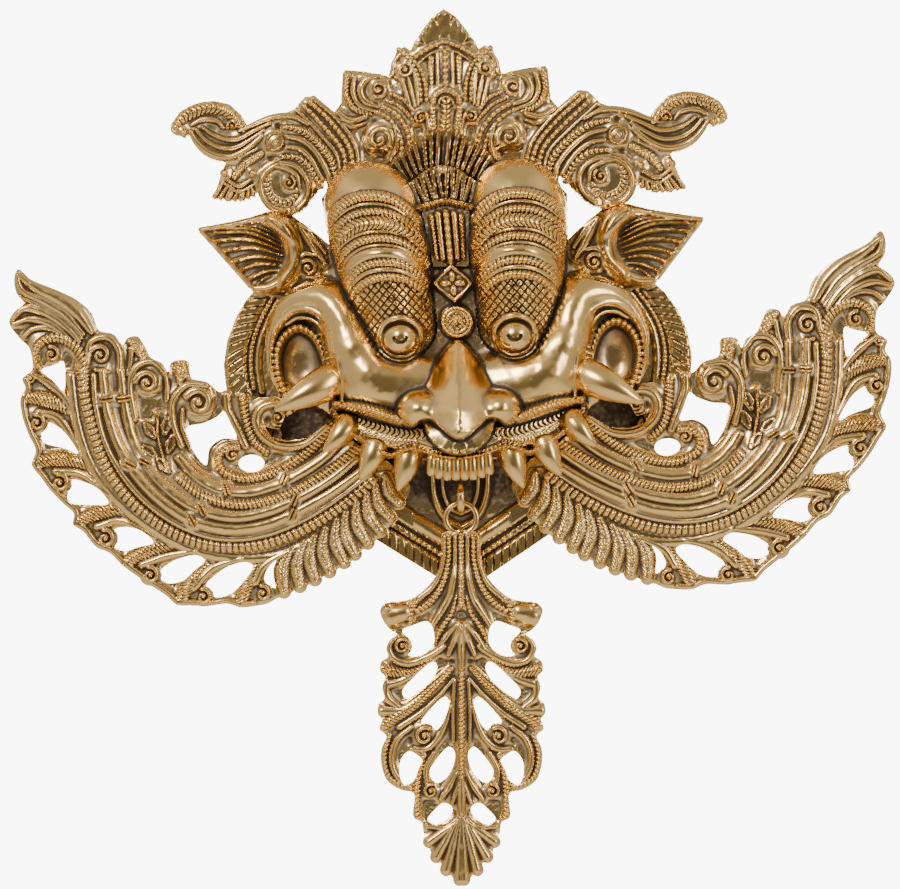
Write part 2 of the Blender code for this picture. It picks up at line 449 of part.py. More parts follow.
def carve_nose(r):
    """The ridged nose with its two nostrils, ending below in a sharp edge."""
    for w, signed in r.outline(NOSE_EDGE, True):
        x, z = np.abs(r.X[w]), r.Z[w]
        ridge = np.interp(z, (-71, -66, -56, -42, -31, -20), (69, 70.4, 68, 59, 51, 44))
        side = np.interp(z, (-71, -62, -52, -40, -30, -20), (52, 48, 43, 40, 39, 40))
        half = np.interp(z, (-71, -56, -45, -31, -20), (24, 23, 19, 11, 5))
        u = np.minimum(x / half, 1.3)
        bridge = ridge - (ridge - side) * (0.42 * u + 0.58 * u**2.4)
        ball = 36 + 24.5 * np.sqrt(np.clip(1 - ((x - 20) / 12.4) ** 2 - ((z + 55) / 11.6) ** 2, 0, 1))
        top = np.maximum(bridge, ball) + np.maximum(7 - np.abs(bridge - ball), 0) ** 2 / 28
        edge = np.clip(signed / 2.6, 0, 1)
        top = 38 + (top - 38) * np.sqrt(1 - (1 - edge) ** 2)
        r.h[w] = np.where(signed > 0, np.maximum(r.h[w], top), r.h[w])


def carve_muzzle(r):
    r.body([(-59.6, -54.4), (-50, -61.5), (-40, -66), (-28, -68.5), (-14, -70.5), (0, -71.5)], [5, 7, 8.4, 8.6, 8, 8],
           [14, 16, 18, 20, 22, 22], [11, 15, 18, 20, 21, 21], "flat")
    r.body([(-60.4, -51), (-50, -52.6), (-40, -55.6), (-29, -59.6)], [2.8, 3.8, 4, 3.6], [22, 26, 30, 32], [15, 20, 21, 20])
    r.trim([(-60.4, -51), (-50, -52.6), (-40, -55.6), (-29, -59.6)], [2.6, 3.6, 3.8, 3.4], 0.4)
    r.body(LIP, 2.1, [12, 14, 17, 19, 20, 21, 22, 22, 23, 23], [14, 16, 18, 20, 21, 21, 21, 21, 21, 21])
    r.body([(-15.4, -60), (-11, -67.6), (-5, -72.6), (0, -73.6)], [3.4, 5, 5.2, 5], 26, [22, 25, 27, 27], "flat", blend=2)
    carve_nose(r)


def lower_under_wings(r):
    """Keeps what lies behind the wings clear of them."""
    outside = np.ones(r.X.shape, bool)
    for w, signed in r.outline(FACE_EDGE, False):
        outside[w] &= signed < 0
    covered = outside & (r.Z < -34) & (np.abs(r.X) > 24)
    r.h = np.where(covered, np.minimum(r.h, SHIELD_THICKNESS + 1.8), r.h)


def carve_mask(step):
    r = Relief(-146, 146, -152, 151, step)
    carve_shield(r)
    carve_crown(r)
    carve_spray(r)
    carve_ear(r)
    r.hole(EAR_GAP, curved=False)
    carve_face(r)
    carve_comb(r)
    carve_eyes(r)
    carve_muzzle(r)
    lower_under_wings(r)
    return r


# The wings

WING_OUTLINE = [
    (-219, 20), (-213, 15), (-200.5, 9.5), (-190.5, 4.4), (-183, -2.5), (-179.3, -11.3), (-172, -13.5),
    (-167.5, -19), (-165, -15.5), (-160, -14.8), (-157, -19), (-153.5, -25.5), (-148, -28.5), (-145, -33),
    (-143.5, -28.5), (-138.5, -27), (-135, -28), (-133.5, -36), (-125.5, -38.5), (-119.5, -43.5), (-116, -42.5),
    (-107, -44.5), (-98, -46.8), (-91, -46.5), (-84, -50), (-79, -56), (-64, -58), (-58, -64), (-34, -82),
    (-25, -93.5), (-28, -100), (-33.5, -106.5), (-35.5, -112), (-42.5, -119.3), (-50, -124.3), (-57, -131), (-62, -133.2),
    (-67, -136), (-72, -138), (-77, -141), (-83, -143), (-88, -146), (-93, -147.5), (-98, -150), (-104, -151), (-111, -151.5),
    (-118, -149.5), (-128, -150.5), (-136, -150), (-143, -149.5), (-148, -145), (-156, -139.5), (-163, -134.5),
    (-170, -129), (-176, -123), (-183, -119.5), (-189, -112), (-194, -108), (-193.5, -103), (-199, -97.5), (-205, -91),
    (-210, -84), (-214, -78), (-212, -71), (-215.5, -62.5), (-218.5, -53), (-219, -45), (-216.5, -39.5), (-218, -35),
    (-213, -30.5), (-214, -20), (-219, -14.5), (-224, -6.5), (-221.5, -1.5), (-216.5, 2.8), (-220, 8), (-221, 15)]
WING_HOLES = [
    [(-208.5, -30.5), (-203, -28.5), (-197.5, -26.5), (-196.5, -33), (-197.5, -41.5), (-203, -36)],
    [(-206, -57), (-200.5, -59.3), (-195, -65), (-190.8, -72.8), (-198, -70), (-208.5, -66.5), (-209, -62)],
    [(-195, -86), (-187, -87.5), (-180, -91.5), (-176, -98), (-186, -98.5), (-196, -97), (-196.5, -92)],
    [(-175, -112), (-168, -110), (-160, -112), (-154, -118), (-161, -120), (-170, -122), (-175, -118.5)],
    [(-152, -134), (-147, -129), (-140, -126), (-132, -125), (-128.5, -127.5), (-134, -132.5), (-140, -137.5), (-148, -138.5)],
    [(-128.5, -140.5), (-124, -135.5), (-116, -130.5), (-107, -129), (-104.5, -131), (-109, -138), (-116, -144.5), (-124, -146)],
    [(-99, -138), (-97, -132), (-91, -127), (-86, -125.8), (-84, -127), (-87, -134), (-91, -141), (-95, -142)],
    [(-136.5, -61), (-128, -59), (-120.5, -55.5), (-117.8, -53), (-114, -60), (-111.5, -66.5), (-119, -67), (-125, -71.5),
     (-127, -80), (-132, -75), (-135, -68)]]
FRONDS = [
    ((-217, -44), (-206, -45.5), (-194, -52), (-211, -57), 4.7, (-210, -51.8), (-201, -54.5), (-190.5, -70)),
    ((-213, -77), (-200, -75.5), (-185, -79), (-200.3, -87.3), 5.2, (-202, -81.5), (-190, -83), (-176, -94)),
    ((-192.5, -107.5), (-183, -103), (-167, -101.5), (-178, -115.6), 5.2, (-182, -109.5), (-171, -107.2), (-153, -116)),
    ((-169, -128.5), (-160, -123.5), (-145, -120), (-156, -134.3), 4.8, (-160, -129), (-150, -125.8), (-133, -123)),
    ((-142, -148), (-136, -139), (-124, -129), (-129.6, -145.6), 4.4, (-134, -141), (-126, -132.5), (-110, -127)),
    ((-111, -149.5), (-108, -140), (-102, -130), (-100, -144.6), 4.4, (-103.5, -139), (-99, -131), (-87, -124))]


def carve_wing(step):
    r = Relief(-228, -20, -157, 28, step, mirrored=False)
    r.plate(WING_OUTLINE, WING_THICKNESS)
    for hole in WING_HOLES:
        r.hole(hole)
    swell = [(-184, -34), (-181, -58), (-171, -82), (-150, -100), (-124, -108), (-100, -105), (-76, -95), (-52, -82)]
    r.rib(swell, [12, 16, 22, 26, 25, 22, 18, 14], [2, 4, 6, 6.5, 6.5, 5, 3, 1.5], "bell", ground=True, grow=False)
    r.rib([(-219, 17), (-209, 10), (-198.5, 4.4), (-190, -2.4), (-183, -12)], [1.4, 3.2, 3.8, 3.6, 2], 3.8, grow=False)
    r.rib([(-219.4, 16), (-216.6, 9), (-207, 4), (-196.6, -2.4), (-187, -13)], [1.2, 2.2, 2.8, 2.6, 1.6], 3.4, grow=False)
    r.rib([(-218, 6), (-207, 0.4), (-196.4, -6.6), (-188, -15)], [1, 2, 2.2, 1.4], 2.8, grow=False)
    r.rib([(-222, -5), (-216, 0.4), (-206, -2), (-195, -10), (-189, -17)], [1.4, 2.4, 2.6, 2.2, 1.4], 3.4, grow=False)
    r.rib([(-222, -7.4), (-213, -5), (-203, -8), (-193, -16)], [1.2, 2.2, 2.4, 1.4], 3, grow=False)
    r.rib([(-217, -14), (-212, -10), (-204, -10), (-196, -14.6)], [1.2, 1.6, 1.6, 1.2], 2.6, grow=False)
    r.rib([(-186.5, -40), (-187, -26), (-192.5, -18), (-201.6, -14.6), (-209.4, -18), (-211.6, -25), (-208, -31)],
          [2.2, 2.8, 3, 3, 2.8, 2.4, 1.8], 3.8, grow=False)
    r.volute((-203, -23), 5.2, 100, 3.8, -1)
    r.rib([(-194, -34), (-191.5, -57), (-184.5, -79), (-171.5, -97), (-153, -112.6), (-134, -123), (-113, -127.4),
           (-93, -126), (-75, -119)], 2.9, 3.2, grow=False)
    r.rib([(-188, -30), (-187, -44), (-184, -58), (-177.6, -78), (-167, -94.6), (-151, -109), (-132.6, -118.6),
           (-113.4, -121.8), (-95, -119.6), (-76, -112), (-58, -101), (-44, -89.6)], 3.3, 4, grow=False)
    r.rib([(-182, -34), (-181, -50), (-177, -67), (-169.6, -82), (-157.6, -97), (-143.6, -108), (-128, -115.2),
           (-113.4, -117.4), (-97, -115.4), (-78, -108), (-60, -97), (-45, -86)], 1.9, 2.8, grow=False)
    r.rib([(-177.4, -32), (-175.4, -50), (-170, -68), (-161.6, -83), (-149.6, -96.6), (-133.6, -107.6), (-114, -112.4),
           (-97, -110.4), (-80, -103.6), (-62, -93.6), (-47, -82.6)], [2.6, 3.2, 3.6, 3.6, 3.6, 3.6, 3.4, 2.8], 4.4, grow=False)
    r.rib([(-168.6, -32), (-167, -48), (-162.8, -66), (-154.4, -81.4), (-141.6, -94.6), (-128.6, -102.4), (-113, -106),
           (-98, -104), (-82, -98), (-66, -89), (-52, -78.6)], [2.4, 3.2, 3.7, 3.8, 3.8, 3.6, 3.2, 2.6], 4.3, grow=False)
    r.rib([(-140, -86), (-132, -93), (-121, -98), (-106, -99.8), (-91, -97), (-76, -90.4), (-61, -81), (-50, -72.6)],
          3.2, 4.4, grow=False)
    r.rib([(-162, -37), (-161, -50), (-156.4, -65), (-149, -76.6), (-140.4, -84.6)], [1.6, 2.4, 2.6, 2.4, 1.6], 3.2, grow=False)
    r.rib([(-140.4, -76), (-131.6, -85.4), (-120, -91.6), (-107, -93.4), (-94, -90.6), (-80, -84.6), (-68, -77), (-59, -68.6)],
          [3, 3.8, 3.9, 3.8, 3.2], 4.4, grow=False)
    r.rib([(-111, -71.6), (-116, -71.6), (-120.4, -76), (-119, -82.6), (-110, -86.8), (-97, -85.6), (-84, -80), (-73, -72),
           (-63, -61.5)], [2, 2.8, 3.2, 3.2, 2.8], 4.2)
    r.volute((-113.5, -75), 4.6, 60, 3.4, 1)
    r.hole(arc((-104.3, -79.6), (6.5, 4.3), 0, 330))
    r.rib([(-86, -52), (-92, -50), (-99, -52), (-101.5, -58), (-98.5, -65.5), (-90, -71), (-78, -70.5), (-66, -62)],
          [2.4, 2.8, 2.8, 2.6, 2.2], 4.4)
    r.volute((-90.5, -57), 4.8, 100, 4.2, -1)
    r.rib([(-108, -46), (-106.5, -57), (-103, -68), (-97, -74)], 2.4, 3.4, grow=False)
    r.rib([(-116, -45), (-115.5, -52), (-111.5, -61), (-107, -71)], 2.2, 2.8, grow=False)
    r.hole([(-87, -57), (-90, -63), (-97, -61.5), (-94, -66.5), (-86, -68.5), (-76, -67.5), (-67, -61), (-62, -57), (-66, -51),
            (-80, -53)], curved=False)
    r.volute((-178.6, -23.8), 6.6, 150, 4.2, -1)
    r.rib([(-185, -27), (-183, -17), (-175, -15), (-169.5, -21), (-169, -34)], 2.2, 4, grow=False)
    r.rib([(-181, -31), (-174.6, -32.4)], 1.4, 3.4, grow=False)
    r.volute((-155.5, -38), 7.6, 170, 4.6, -1)
    r.rib([(-162, -56), (-164, -38), (-160, -29.5), (-152, -27.8), (-146.6, -33)], 2.2, 3.8, grow=False)
    r.volute((-130, -48.6), 9.0, 150, 4.6, -1)
    r.rib([(-139, -70), (-143, -58), (-142.5, -47), (-136, -40), (-126, -40)], 2.2, 3.8, grow=False)
    r.rib([(-134.4, -72), (-138.4, -60), (-138, -52)], [1.2, 1.8, 1.2], 3.2, grow=False)
    r.rib([(-164, -17), (-160, -20), (-157.5, -26)], [1.6, 3.6, 2], 3, grow=False)
    r.rib([(-163, -21), (-163.6, -27), (-165, -34)], 1.6, 2.6, grow=False)
    r.rib([(-139, -29), (-138.4, -33), (-139, -38)], [3.4, 4, 2], 3, grow=False)
    r.rib([(-146.4, -33.6), (-145.6, -40), (-146, -47)], 1.5, 2.4, grow=False)
    for x, z, turn in ((-146.4, -59.6, 80), (-155, -61, 125), (-144.4, -68.6, 70), (-155, -72, 140), (-149.4, -79, 130)):
        d = np.array([cos(radians(turn)), sin(radians(turn))]) * 3.4
        r.rib([(x, z) - d, (x, z) + d * 0.1, (x, z) + d], [1.4, 3.3, 1.4], 5.4, grow=False)
        r.trim([(x, z) - d * 0.7, (x, z) + d * 0.8], 0.6, -1.0)
    r.rib([(-150.4, -55), (-150, -66), (-147, -80)], 1.0, 4.6, grow=False)
    r.rib([(-142, -74), (-147, -80), (-141, -87)], [1, 2.6, 1], 2.8, grow=False)
    r.volute((-214, -35), 3, 60, 2.8, -1)
    r.rib([(-213, -32.5), (-205, -37.5), (-197, -45), (-191.5, -57)], [1.6, 2.2, 2.2, 1.4], 3, grow=False)
    rim = np.array(WING_OUTLINE[WING_OUTLINE.index((-104, -151)):WING_OUTLINE.index((-218, -35)) + 1])
    r.rib(rim * 0.985 + (-1.5, -0.6), 1.7, 3.2, grow=False)
    for bar_out, bar_mid, bar_in, centre, size, stem_out, stem_mid, stem_in in FRONDS:
        r.rib([bar_out, bar_mid, bar_in], [3.4, 4.4, 2.6], [3.2, 4, 2.4], grow=False)
        r.rib([stem_out, stem_mid, stem_in], [2.4, 2.6, 1.6], 3.6, grow=False)
        r.volute(centre, size * 1.15, 100, 3.8, -1)
    for x, z, turn in ((-175.6, -46, 97), (-167.4, -46, 97), (-164.4, -79, 62), (-157, -77.6, 60), (-134, -107.4, 30),
                       (-129, -102.2, 27), (-84, -105.4, -24), (-83, -98.4, -25), (-117, -92.4, 18), (-88, -88, -24)):
        d = np.array([-sin(radians(turn)), cos(radians(turn))]) * 2.4
        for shift in (-1.1, 1.1):
            c = np.array([x + shift * cos(radians(turn)), z + shift * sin(radians(turn))])
            r.rib([c - d, c + d], 0.9, 6.4, grow=False)
    r.fan([(-88, -124), (-76, -118), (-61, -108), (-46, -95), (-34, -85)],
          [(-92, -145), (-80, -141), (-70, -136.5), (-59, -130), (-48, -121.5), (-37, -110.5), (-29, -97)], 10, [2.6, 4.6, 3.6], 4,
          0.12, shape="swell")
    return r


# The pendant

DROP_OUTLINE = [
    (0, -115), (-9.5, -117), (-9.8, -126), (-11.5, -135), (-15, -141), (-22, -147.5), (-26, -149.5), (-31, -150.5),
    (-38, -151.5), (-40.5, -154.5), (-39, -160), (-35, -165), (-32, -166.8), (-36, -170), (-37.5, -174), (-36.5, -178), (-40, -180.5),
    (-40.5, -185), (-38, -188), (-39.5, -193), (-38.5, -199), (-41.5, -202), (-41.5, -207), (-39.5, -209), (-41, -214),
    (-37.5, -217.5), (-40, -224), (-40, -232), (-37, -240), (-30, -244.5), (-24, -246), (-24, -258), (-20, -260.5),
    (-19, -266), (-16.5, -270), (-15.5, -275.5), (-12.5, -279), (-7, -284.5), (-4, -289), (0, -291.5)]
DROP_HOLES = [
    [(-29.5, -165), (-23, -162), (-17, -160.5), (-14.5, -163), (-14, -172), (-19, -177), (-24.5, -178), (-28, -176),
     (-25.5, -172), (-27.5, -168)],
    [(-14, -180.5), (-12, -183), (-15, -190), (-24, -197.5), (-28, -199), (-29.5, -195.5), (-24, -188.5)],
    [(-8, -198), (-6.2, -200.5), (-8, -208), (-12, -214.5), (-15, -215), (-20, -211), (-17, -206)],
    [(-26, -225), (-23, -226.5), (-19.5, -229.5), (-21.5, -234), (-24, -240), (-28.5, -242), (-31, -236), (-30, -229)],
    [(-6, -223), (-3.5, -225.5), (-4, -232), (-8, -239), (-13, -241), (-16, -236), (-13, -230)],
    [(-9, -251), (-5, -252.5), (-5, -256.5), (-9, -260.5), (-13, -262), (-17, -259.5), (-13, -254)]]


def carve_pendant(step):
    r = Relief(-46, 46, -296, -112, step)
    r.plate(DROP_OUTLINE, PENDANT_THICKNESS)
    for hole in DROP_HOLES:
        r.hole(hole)
    r.rib([(0, -140), (0, -165)], [9, 7], 2.4, "bell", ground=True, grow=False)
    r.rib([(-8.4, -118), (-9, -131), (-13.4, -142), (-20, -148), (-25, -152)], [1.1, 1.2, 1.5, 2, 2], 3.0, grow=False)
    r.rib([(-6, -118), (-6.4, -131), (-10, -143), (-16, -151), (-22, -155)], [1.4, 1.6, 2, 2.4, 2.2], 3.6, grow=False)
    r.rib([(-3, -118), (-3.4, -135), (-6.4, -149), (-12.4, -159), (-15, -163)], [1.3, 1.6, 2.2, 2.4, 1.8], 3.4, grow=False)
    r.rib([(0, -117), (0, -152)], [1.7, 1.9, 2], 4.2, grow=False)
    r.rib([(-2.6, -148), (-5, -156), (-10.6, -165), (-13, -170)], [1, 1.8, 2, 1.4], 3.6, grow=False)
    r.rib([(0, -162), (-3.6, -170), (-6.6, -177)], [1.4, 2.4, 1.6], 4.0, grow=False)
    r.rib([(-3, -162), (-7.6, -168), (-11.6, -174)], [1.2, 2.2, 1.4], 3.4, grow=False)
    r.rib([(0, -164), (0, -175), (0, -184)], [1.6, 2.6, 2], 5.0, grow=False)
    r.rib([(-22.6, -149.6), (-25, -155), (-25.6, -161.6)], 2.2, 4.2, grow=False)
    r.rib([(-29, -156), (-34.5, -157.5)], [5, 5.8], 4.6, grow=False)
    r.dome((-37.4, -153.8), 2.4, 6.4, grow=False)
    r.volute((-29.5, -172.8), 5, 60, 3.8, 1)
    r.rib([(-33, -168), (-36, -173), (-33.5, -179), (-26.3, -181.3), (-15, -177), (-9, -173)], [1.6, 2, 2.4, 2.4, 2], 3.6, grow=False)
    r.rib([(-15, -181), (-26, -186), (-38.5, -184.5)], [1.6, 2.8, 3.4], 3.4, grow=False)
    r.rib([(-20, -185), (-30, -190), (-37, -192)], [1.4, 2.2, 2.6], 2.8, grow=False)
    r.rib([(-37.5, -190), (-37, -198), (-31, -203.5)], [2, 2.6, 2], 3, grow=False)
    r.rib([(-39.4, -205), (-30, -204.6), (-20, -197)], [3, 2.4, 1.2], 3.4, grow=False)
    r.rib([(-5, -184), (-12, -191), (-24, -202), (-38.5, -212)], [1.8, 2.6, 3.2, 3.2], 3.8, grow=False)
    r.rib([(-4, -189), (-10, -196), (-20, -205.6), (-31, -213)], [1.2, 1.4, 1.8, 2], 2.6, grow=False)
    r.rib([(-25, -213), (-32, -219), (-34.8, -228), (-32.5, -237), (-26, -243)], [1.6, 1.9, 1.9, 1.6], 3, grow=False)
    r.rib([(-36, -217), (-38.6, -227), (-36, -238), (-25, -244.8)], 1.7, 3, grow=False)
    r.volute((-18.5, -217.5), 6, 60, 4, 1)
    r.rib([(-6, -203), (-8, -211), (-12, -219), (-18, -224), (-25, -224)], [1.4, 1.8, 2, 1.8], 3.2, grow=False)
    r.rib([(-19, -227), (-21, -233), (-22.5, -246), (-22, -259)], [1.8, 2.2, 2.4, 2.2], 3.4, grow=False)
    r.rib([(-14, -226), (-18, -234), (-17.5, -241)], 1.5, 2.8, grow=False)
    r.rib([(0, -186), (0, -240)], 2.1, 4.6, grow=False)
    r.rib([(-3.4, -190), (-4.2, -206), (-4, -220)], 1.3, 2.8, grow=False)
    r.rib([(0, -238), (0, -250), (0, -256)], [1.6, 2.8, 2], 5.0, grow=False)
    r.volute((-15.4, -245), 4.6, 80, 3.6, 1)
    r.rib([(-2.5, -236), (-6, -243), (-10.5, -249)], [1.2, 2, 1.4], 3, grow=False)
    r.rib([(-1, -240), (-3.6, -248), (-5.6, -253)], [1, 1.8, 1.2], 3.8, grow=False)
    r.rib([(-3, -259), (-8, -263), (-17, -262.5)], [1.4, 1.6, 1.6], 2.8, grow=False)
    r.fan([(0, -257), (-1.8, -259), (-4.2, -262)], [(1.4, -290.5), (-5, -287), (-12, -279), (-18, -266.5)], 4, [1.2, 3.0, 3.2], 3.2,
          shape="swell")
    return r


# Solids

def cast(r, back=0.0, place=None, hollow=None):
    """Points and triangles of the closed solid between a relief and its back."""
    cover = r.cover.copy()
    cover[[0, -1], :] = cover[:, [0, -1]] = -1
    inside = cover > 0
    count = np.cumsum(inside.ravel()).reshape(inside.shape) - 1
    node = np.where(inside, count, -1)
    total = int(inside.sum())
    points = [np.column_stack([r.X[inside], r.Z[inside], r.h[inside]])]
    cuts = {}
    for name, a, b in (("x", np.s_[:, :-1], np.s_[:, 1:]), ("z", np.s_[:-1, :], np.s_[1:, :])):
        crossing = inside[a] != inside[b]
        k = np.full(crossing.shape, -1)
        k[crossing] = total + np.arange(crossing.sum())
        total += int(crossing.sum())
        ca, cb = cover[a][crossing], cover[b][crossing]
        t = np.clip(ca / (ca - cb), 0.12, 0.88)
        x = r.X[a][crossing] + t * (r.X[b][crossing] - r.X[a][crossing])
        z = r.Z[a][crossing] + t * (r.Z[b][crossing] - r.Z[a][crossing])
        h = np.where(inside[a][crossing], r.h[a][crossing], r.h[b][crossing])
        points.append(np.column_stack([x, z, h]))
        cuts[name] = k
    points = np.vstack(points)
    corners = [node[:-1, :-1], node[:-1, 1:], node[1:, 1:], node[1:, :-1]]
    edges = [cuts["x"][:-1, :], cuts["z"][:, 1:], cuts["x"][1:, :], cuts["z"][:, :-1]]
    code = sum((c >= 0).astype(int) << k for k, c in enumerate(corners))
    top, rim = [], []
    for case in range(1, 16):
        here = code == case
        ring, kinds = [], []
        for k in range(4):
            now, after = case >> k & 1, case >> (k + 1) % 4 & 1
            if now:
                ring.append(corners[k][here])
                kinds.append("node")
            if now != after:
                ring.append(edges[k][here])
                kinds.append("out" if now else "in")
        for m in range(1, len(ring) - 1):
            top.append(np.column_stack([ring[0], ring[m], ring[m + 1]]))
        for m, kind in enumerate(kinds):
            if kind == "out":
                rim.append(np.column_stack([ring[m], ring[(m + 1) % len(ring)]]))
    top, rim = np.vstack(top), np.vstack(rim)
    x, z, h = points.T
    base = np.full(len(points), back)
    if hollow is not None:
        base = base + hollow(x, z, h)
    front = np.column_stack([x, -(h + back), z])
    behind = np.column_stack([x, -base, z])
    walls = np.vstack([np.column_stack([rim[:, 1], rim[:, 0], rim[:, 0] + total]),
                       np.column_stack([rim[:, 1], rim[:, 0] + total, rim[:, 1] + total])])
    faces = np.vstack([top, top[:, ::-1] + total, walls])
    places = np.vstack([front, behind])
    if place is not None:
        places, faces = place(places, faces)
    return places, faces


def largest(places, faces):
    """The biggest joined body of a mesh."""
    label = np.arange(len(places))
    while True:
        low = np.minimum.reduce([label[faces[:, k]] for k in range(3)])
        new = label.copy()
        for k in range(3):
            np.minimum.at(new, faces[:, k], low)
        new = new[new]
        if (new == label).all():
            break
        label = new
    names, sizes = np.unique(label[faces[:, 0]], return_counts=True)
    faces = faces[label[faces[:, 0]] == names[sizes.argmax()]]
    used, faces = np.unique(faces, return_inverse=True)
    return places[used], faces.reshape(-1, 3)


def horn(points, radii, sides=8, flat=1.0):
    """A tapering round rod along a path in space, closed at both ends."""
    path = [Vector(p) for p in points]
    verts, faces = [], []
    for k, p in enumerate(path):
        d = (path[min(k + 1, len(path) - 1)] - path[max(k - 1, 0)]).normalized()
        across = d.cross(Vector((0, 1, 0)))
        across = across.normalized() if across.length > 0.2 else d.cross(Vector((1, 0, 0))).normalized()
        over = across.cross(d).normalized()
        for s in range(sides):
            a = 2 * pi * s / sides
            verts.append(p + radii[k] * (across * cos(a) + over * sin(a) * flat))
    for k in range(len(path) - 1):
        for s in range(sides):
            n = (s + 1) % sides
            faces.append((k * sides + s, (k + 1) * sides + s, (k + 1) * sides + n, k * sides + n))
    faces.append(tuple(range(sides)))
    faces.append(tuple((len(path) - 1) * sides + s for s in range(sides))[::-1])
    return verts, faces


def torus(centre, radius, rod, around=28, sides=8):
    verts, faces = [], []
    for k in range(around):
        a = 2 * pi * k / around
        for s in range(sides):
            b = 2 * pi * s / sides
            reach = radius + rod * cos(b)
            verts.append((centre[0] + reach * cos(a), centre[1] + rod * sin(b), centre[2] + reach * sin(a)))
    for k in range(around):
        for s in range(sides):
            n, m = (k + 1) % around, (s + 1) % sides
            faces.append((k * sides + s, k * sides + m, n * sides + m, n * sides + s))
    return verts, faces


def material(name, colour, rough):
    brass = bpy.data.materials.new(name)
    brass.use_nodes = True
    shader = brass.node_tree.nodes["Principled BSDF"]
    shader.inputs["Base Color"].default_value = (*colour, 1)
    shader.inputs["Metallic"].default_value = 1.0
    shader.inputs["Roughness"].default_value = rough
    return brass


def solid(name, places, faces, colour=None, rough=0.3, angle=40):
    mesh = bpy.data.meshes.new(name)
    scaled = [(x * SCALE, y * SCALE, (z - HANGING_HEIGHT) * SCALE) for x, y, z in places]
    mesh.from_pydata(scaled, [], [tuple(int(v) for v in f) for f in faces])
    mesh.shade_smooth()
    mesh.set_sharp_from_angle(angle=radians(angle))
    made = bpy.data.objects.new(name, mesh)
    bpy.context.scene.collection.objects.link(made)
    if colour is None:
        made.hide_render = True
        made.display_type = "WIRE"
    else:
        mesh.materials.append(material("brass_" + name, colour, rough))
    return made


def several(parts):
    verts, faces = [], []
    for v, f in parts:
        faces += [tuple(k + len(verts) for k in face) for face in f]
        verts += list(v)
    return verts, faces


def thin_out(made, triangles):
    lighter = made.modifiers.new("fewer triangles", "DECIMATE")
    lighter.ratio = triangles / len(made.data.polygons)


def unite(made, other, solver="EXACT"):
    joined = made.modifiers.new("joined", "BOOLEAN")
    joined.operation = "UNION"
    joined.object = other
    joined.solver = solver


def turned(pivot, degrees, mirror=False):
    def place(places, faces):
        p = np.array(places, float)
        if mirror:
            p[:, 0] *= -1
            faces = faces[:, ::-1]
        a = radians(degrees)
        x, z = p[:, 0] - pivot[0], p[:, 2] - pivot[1]
        p[:, 0], p[:, 2] = pivot[0] + x * cos(a) - z * sin(a), pivot[1] + x * sin(a) + z * cos(a)
        return p, faces
    return place


def hollow_back(x, z, h):
    """Depth of the smooth hollow behind the face."""
    q = (x / HOLLOW_HALF_WIDTH) ** 2 + ((z + 10) / HOLLOW_HALF_HEIGHT) ** 2
    bowl = HOLLOW_DEPTH * np.clip(1 - q, 0, 1)
    return np.maximum(np.minimum(bowl, h - WALL), 0)


def leaning(places, faces):
    """The crown and brow of the real mask lean a little to the left."""
    p = np.array(places, float)
    shift = np.interp(p[:, 2], (-12, 10, 50, 66, 95, 140), (0, -2, -5, -6, -3.2, -3.4))
    p[:, 0] += shift * np.interp(np.abs(p[:, 0]), (60, 110), (1, 0.5))
    return p, faces


def lip_hole(r, right):
    edge = np.array(FACE_EDGE, float)
    if right:
        a = radians(-WING_TURN)
        x, z = edge[:, 0] - WING_PIVOT[0], edge[:, 1] - WING_PIVOT[1]
        edge = np.column_stack([-(WING_PIVOT[0] + x * cos(a) - z * sin(a)), WING_PIVOT[1] + x * sin(a) + z * cos(a)])
    r.hole(edge, LIP_CLEARANCE, curved=False)


def teeth():
    """The row of front teeth, three fangs on each side and the two claws beside the mouth."""
    parts = []
    for side in (1, -1):
        for x, z, reach in ((2.1, -79, 11.5), (6.2, -79, 11.5), (10.2, -78.5, 11), (13.9, -78, 10)):
            parts.append(horn([(side * x, -38, z + 4), (side * x, -38.4, z - reach * 0.6), (side * x * 1.06, -37, z - reach)],
                              [1.9, 1.95, 1.9], 8, 1.3))
        for root, middle, tip, size in (((25, -31, -73), (25.6, -37, -83), (31.4, -35, -94.5), 6.6),
                                        ((41, -31, -70), (43, -37, -79), (50, -35, -88.5), 6.4),
                                        ((54, -26, -59), (59, -34, -67), (67.4, -33, -74.6), 6.0),
                                        ((61, -27, -38), (72, -39, -44), (91, -38, -53.6), 8.8)):
            t = np.linspace(0, 1, 6)[:, None]
            path = (1 - t) ** 2 * np.array(root) + 2 * t * (1 - t) * np.array(middle) + t**2 * np.array(tip)
            radii = size * np.interp(t[:, 0], (0, 0.45, 0.8, 1), (1, 0.86, 0.46, 0.08))
            parts.append(horn(path * (side, 1, 1), radii.tolist(), 8))
    return several(parts)


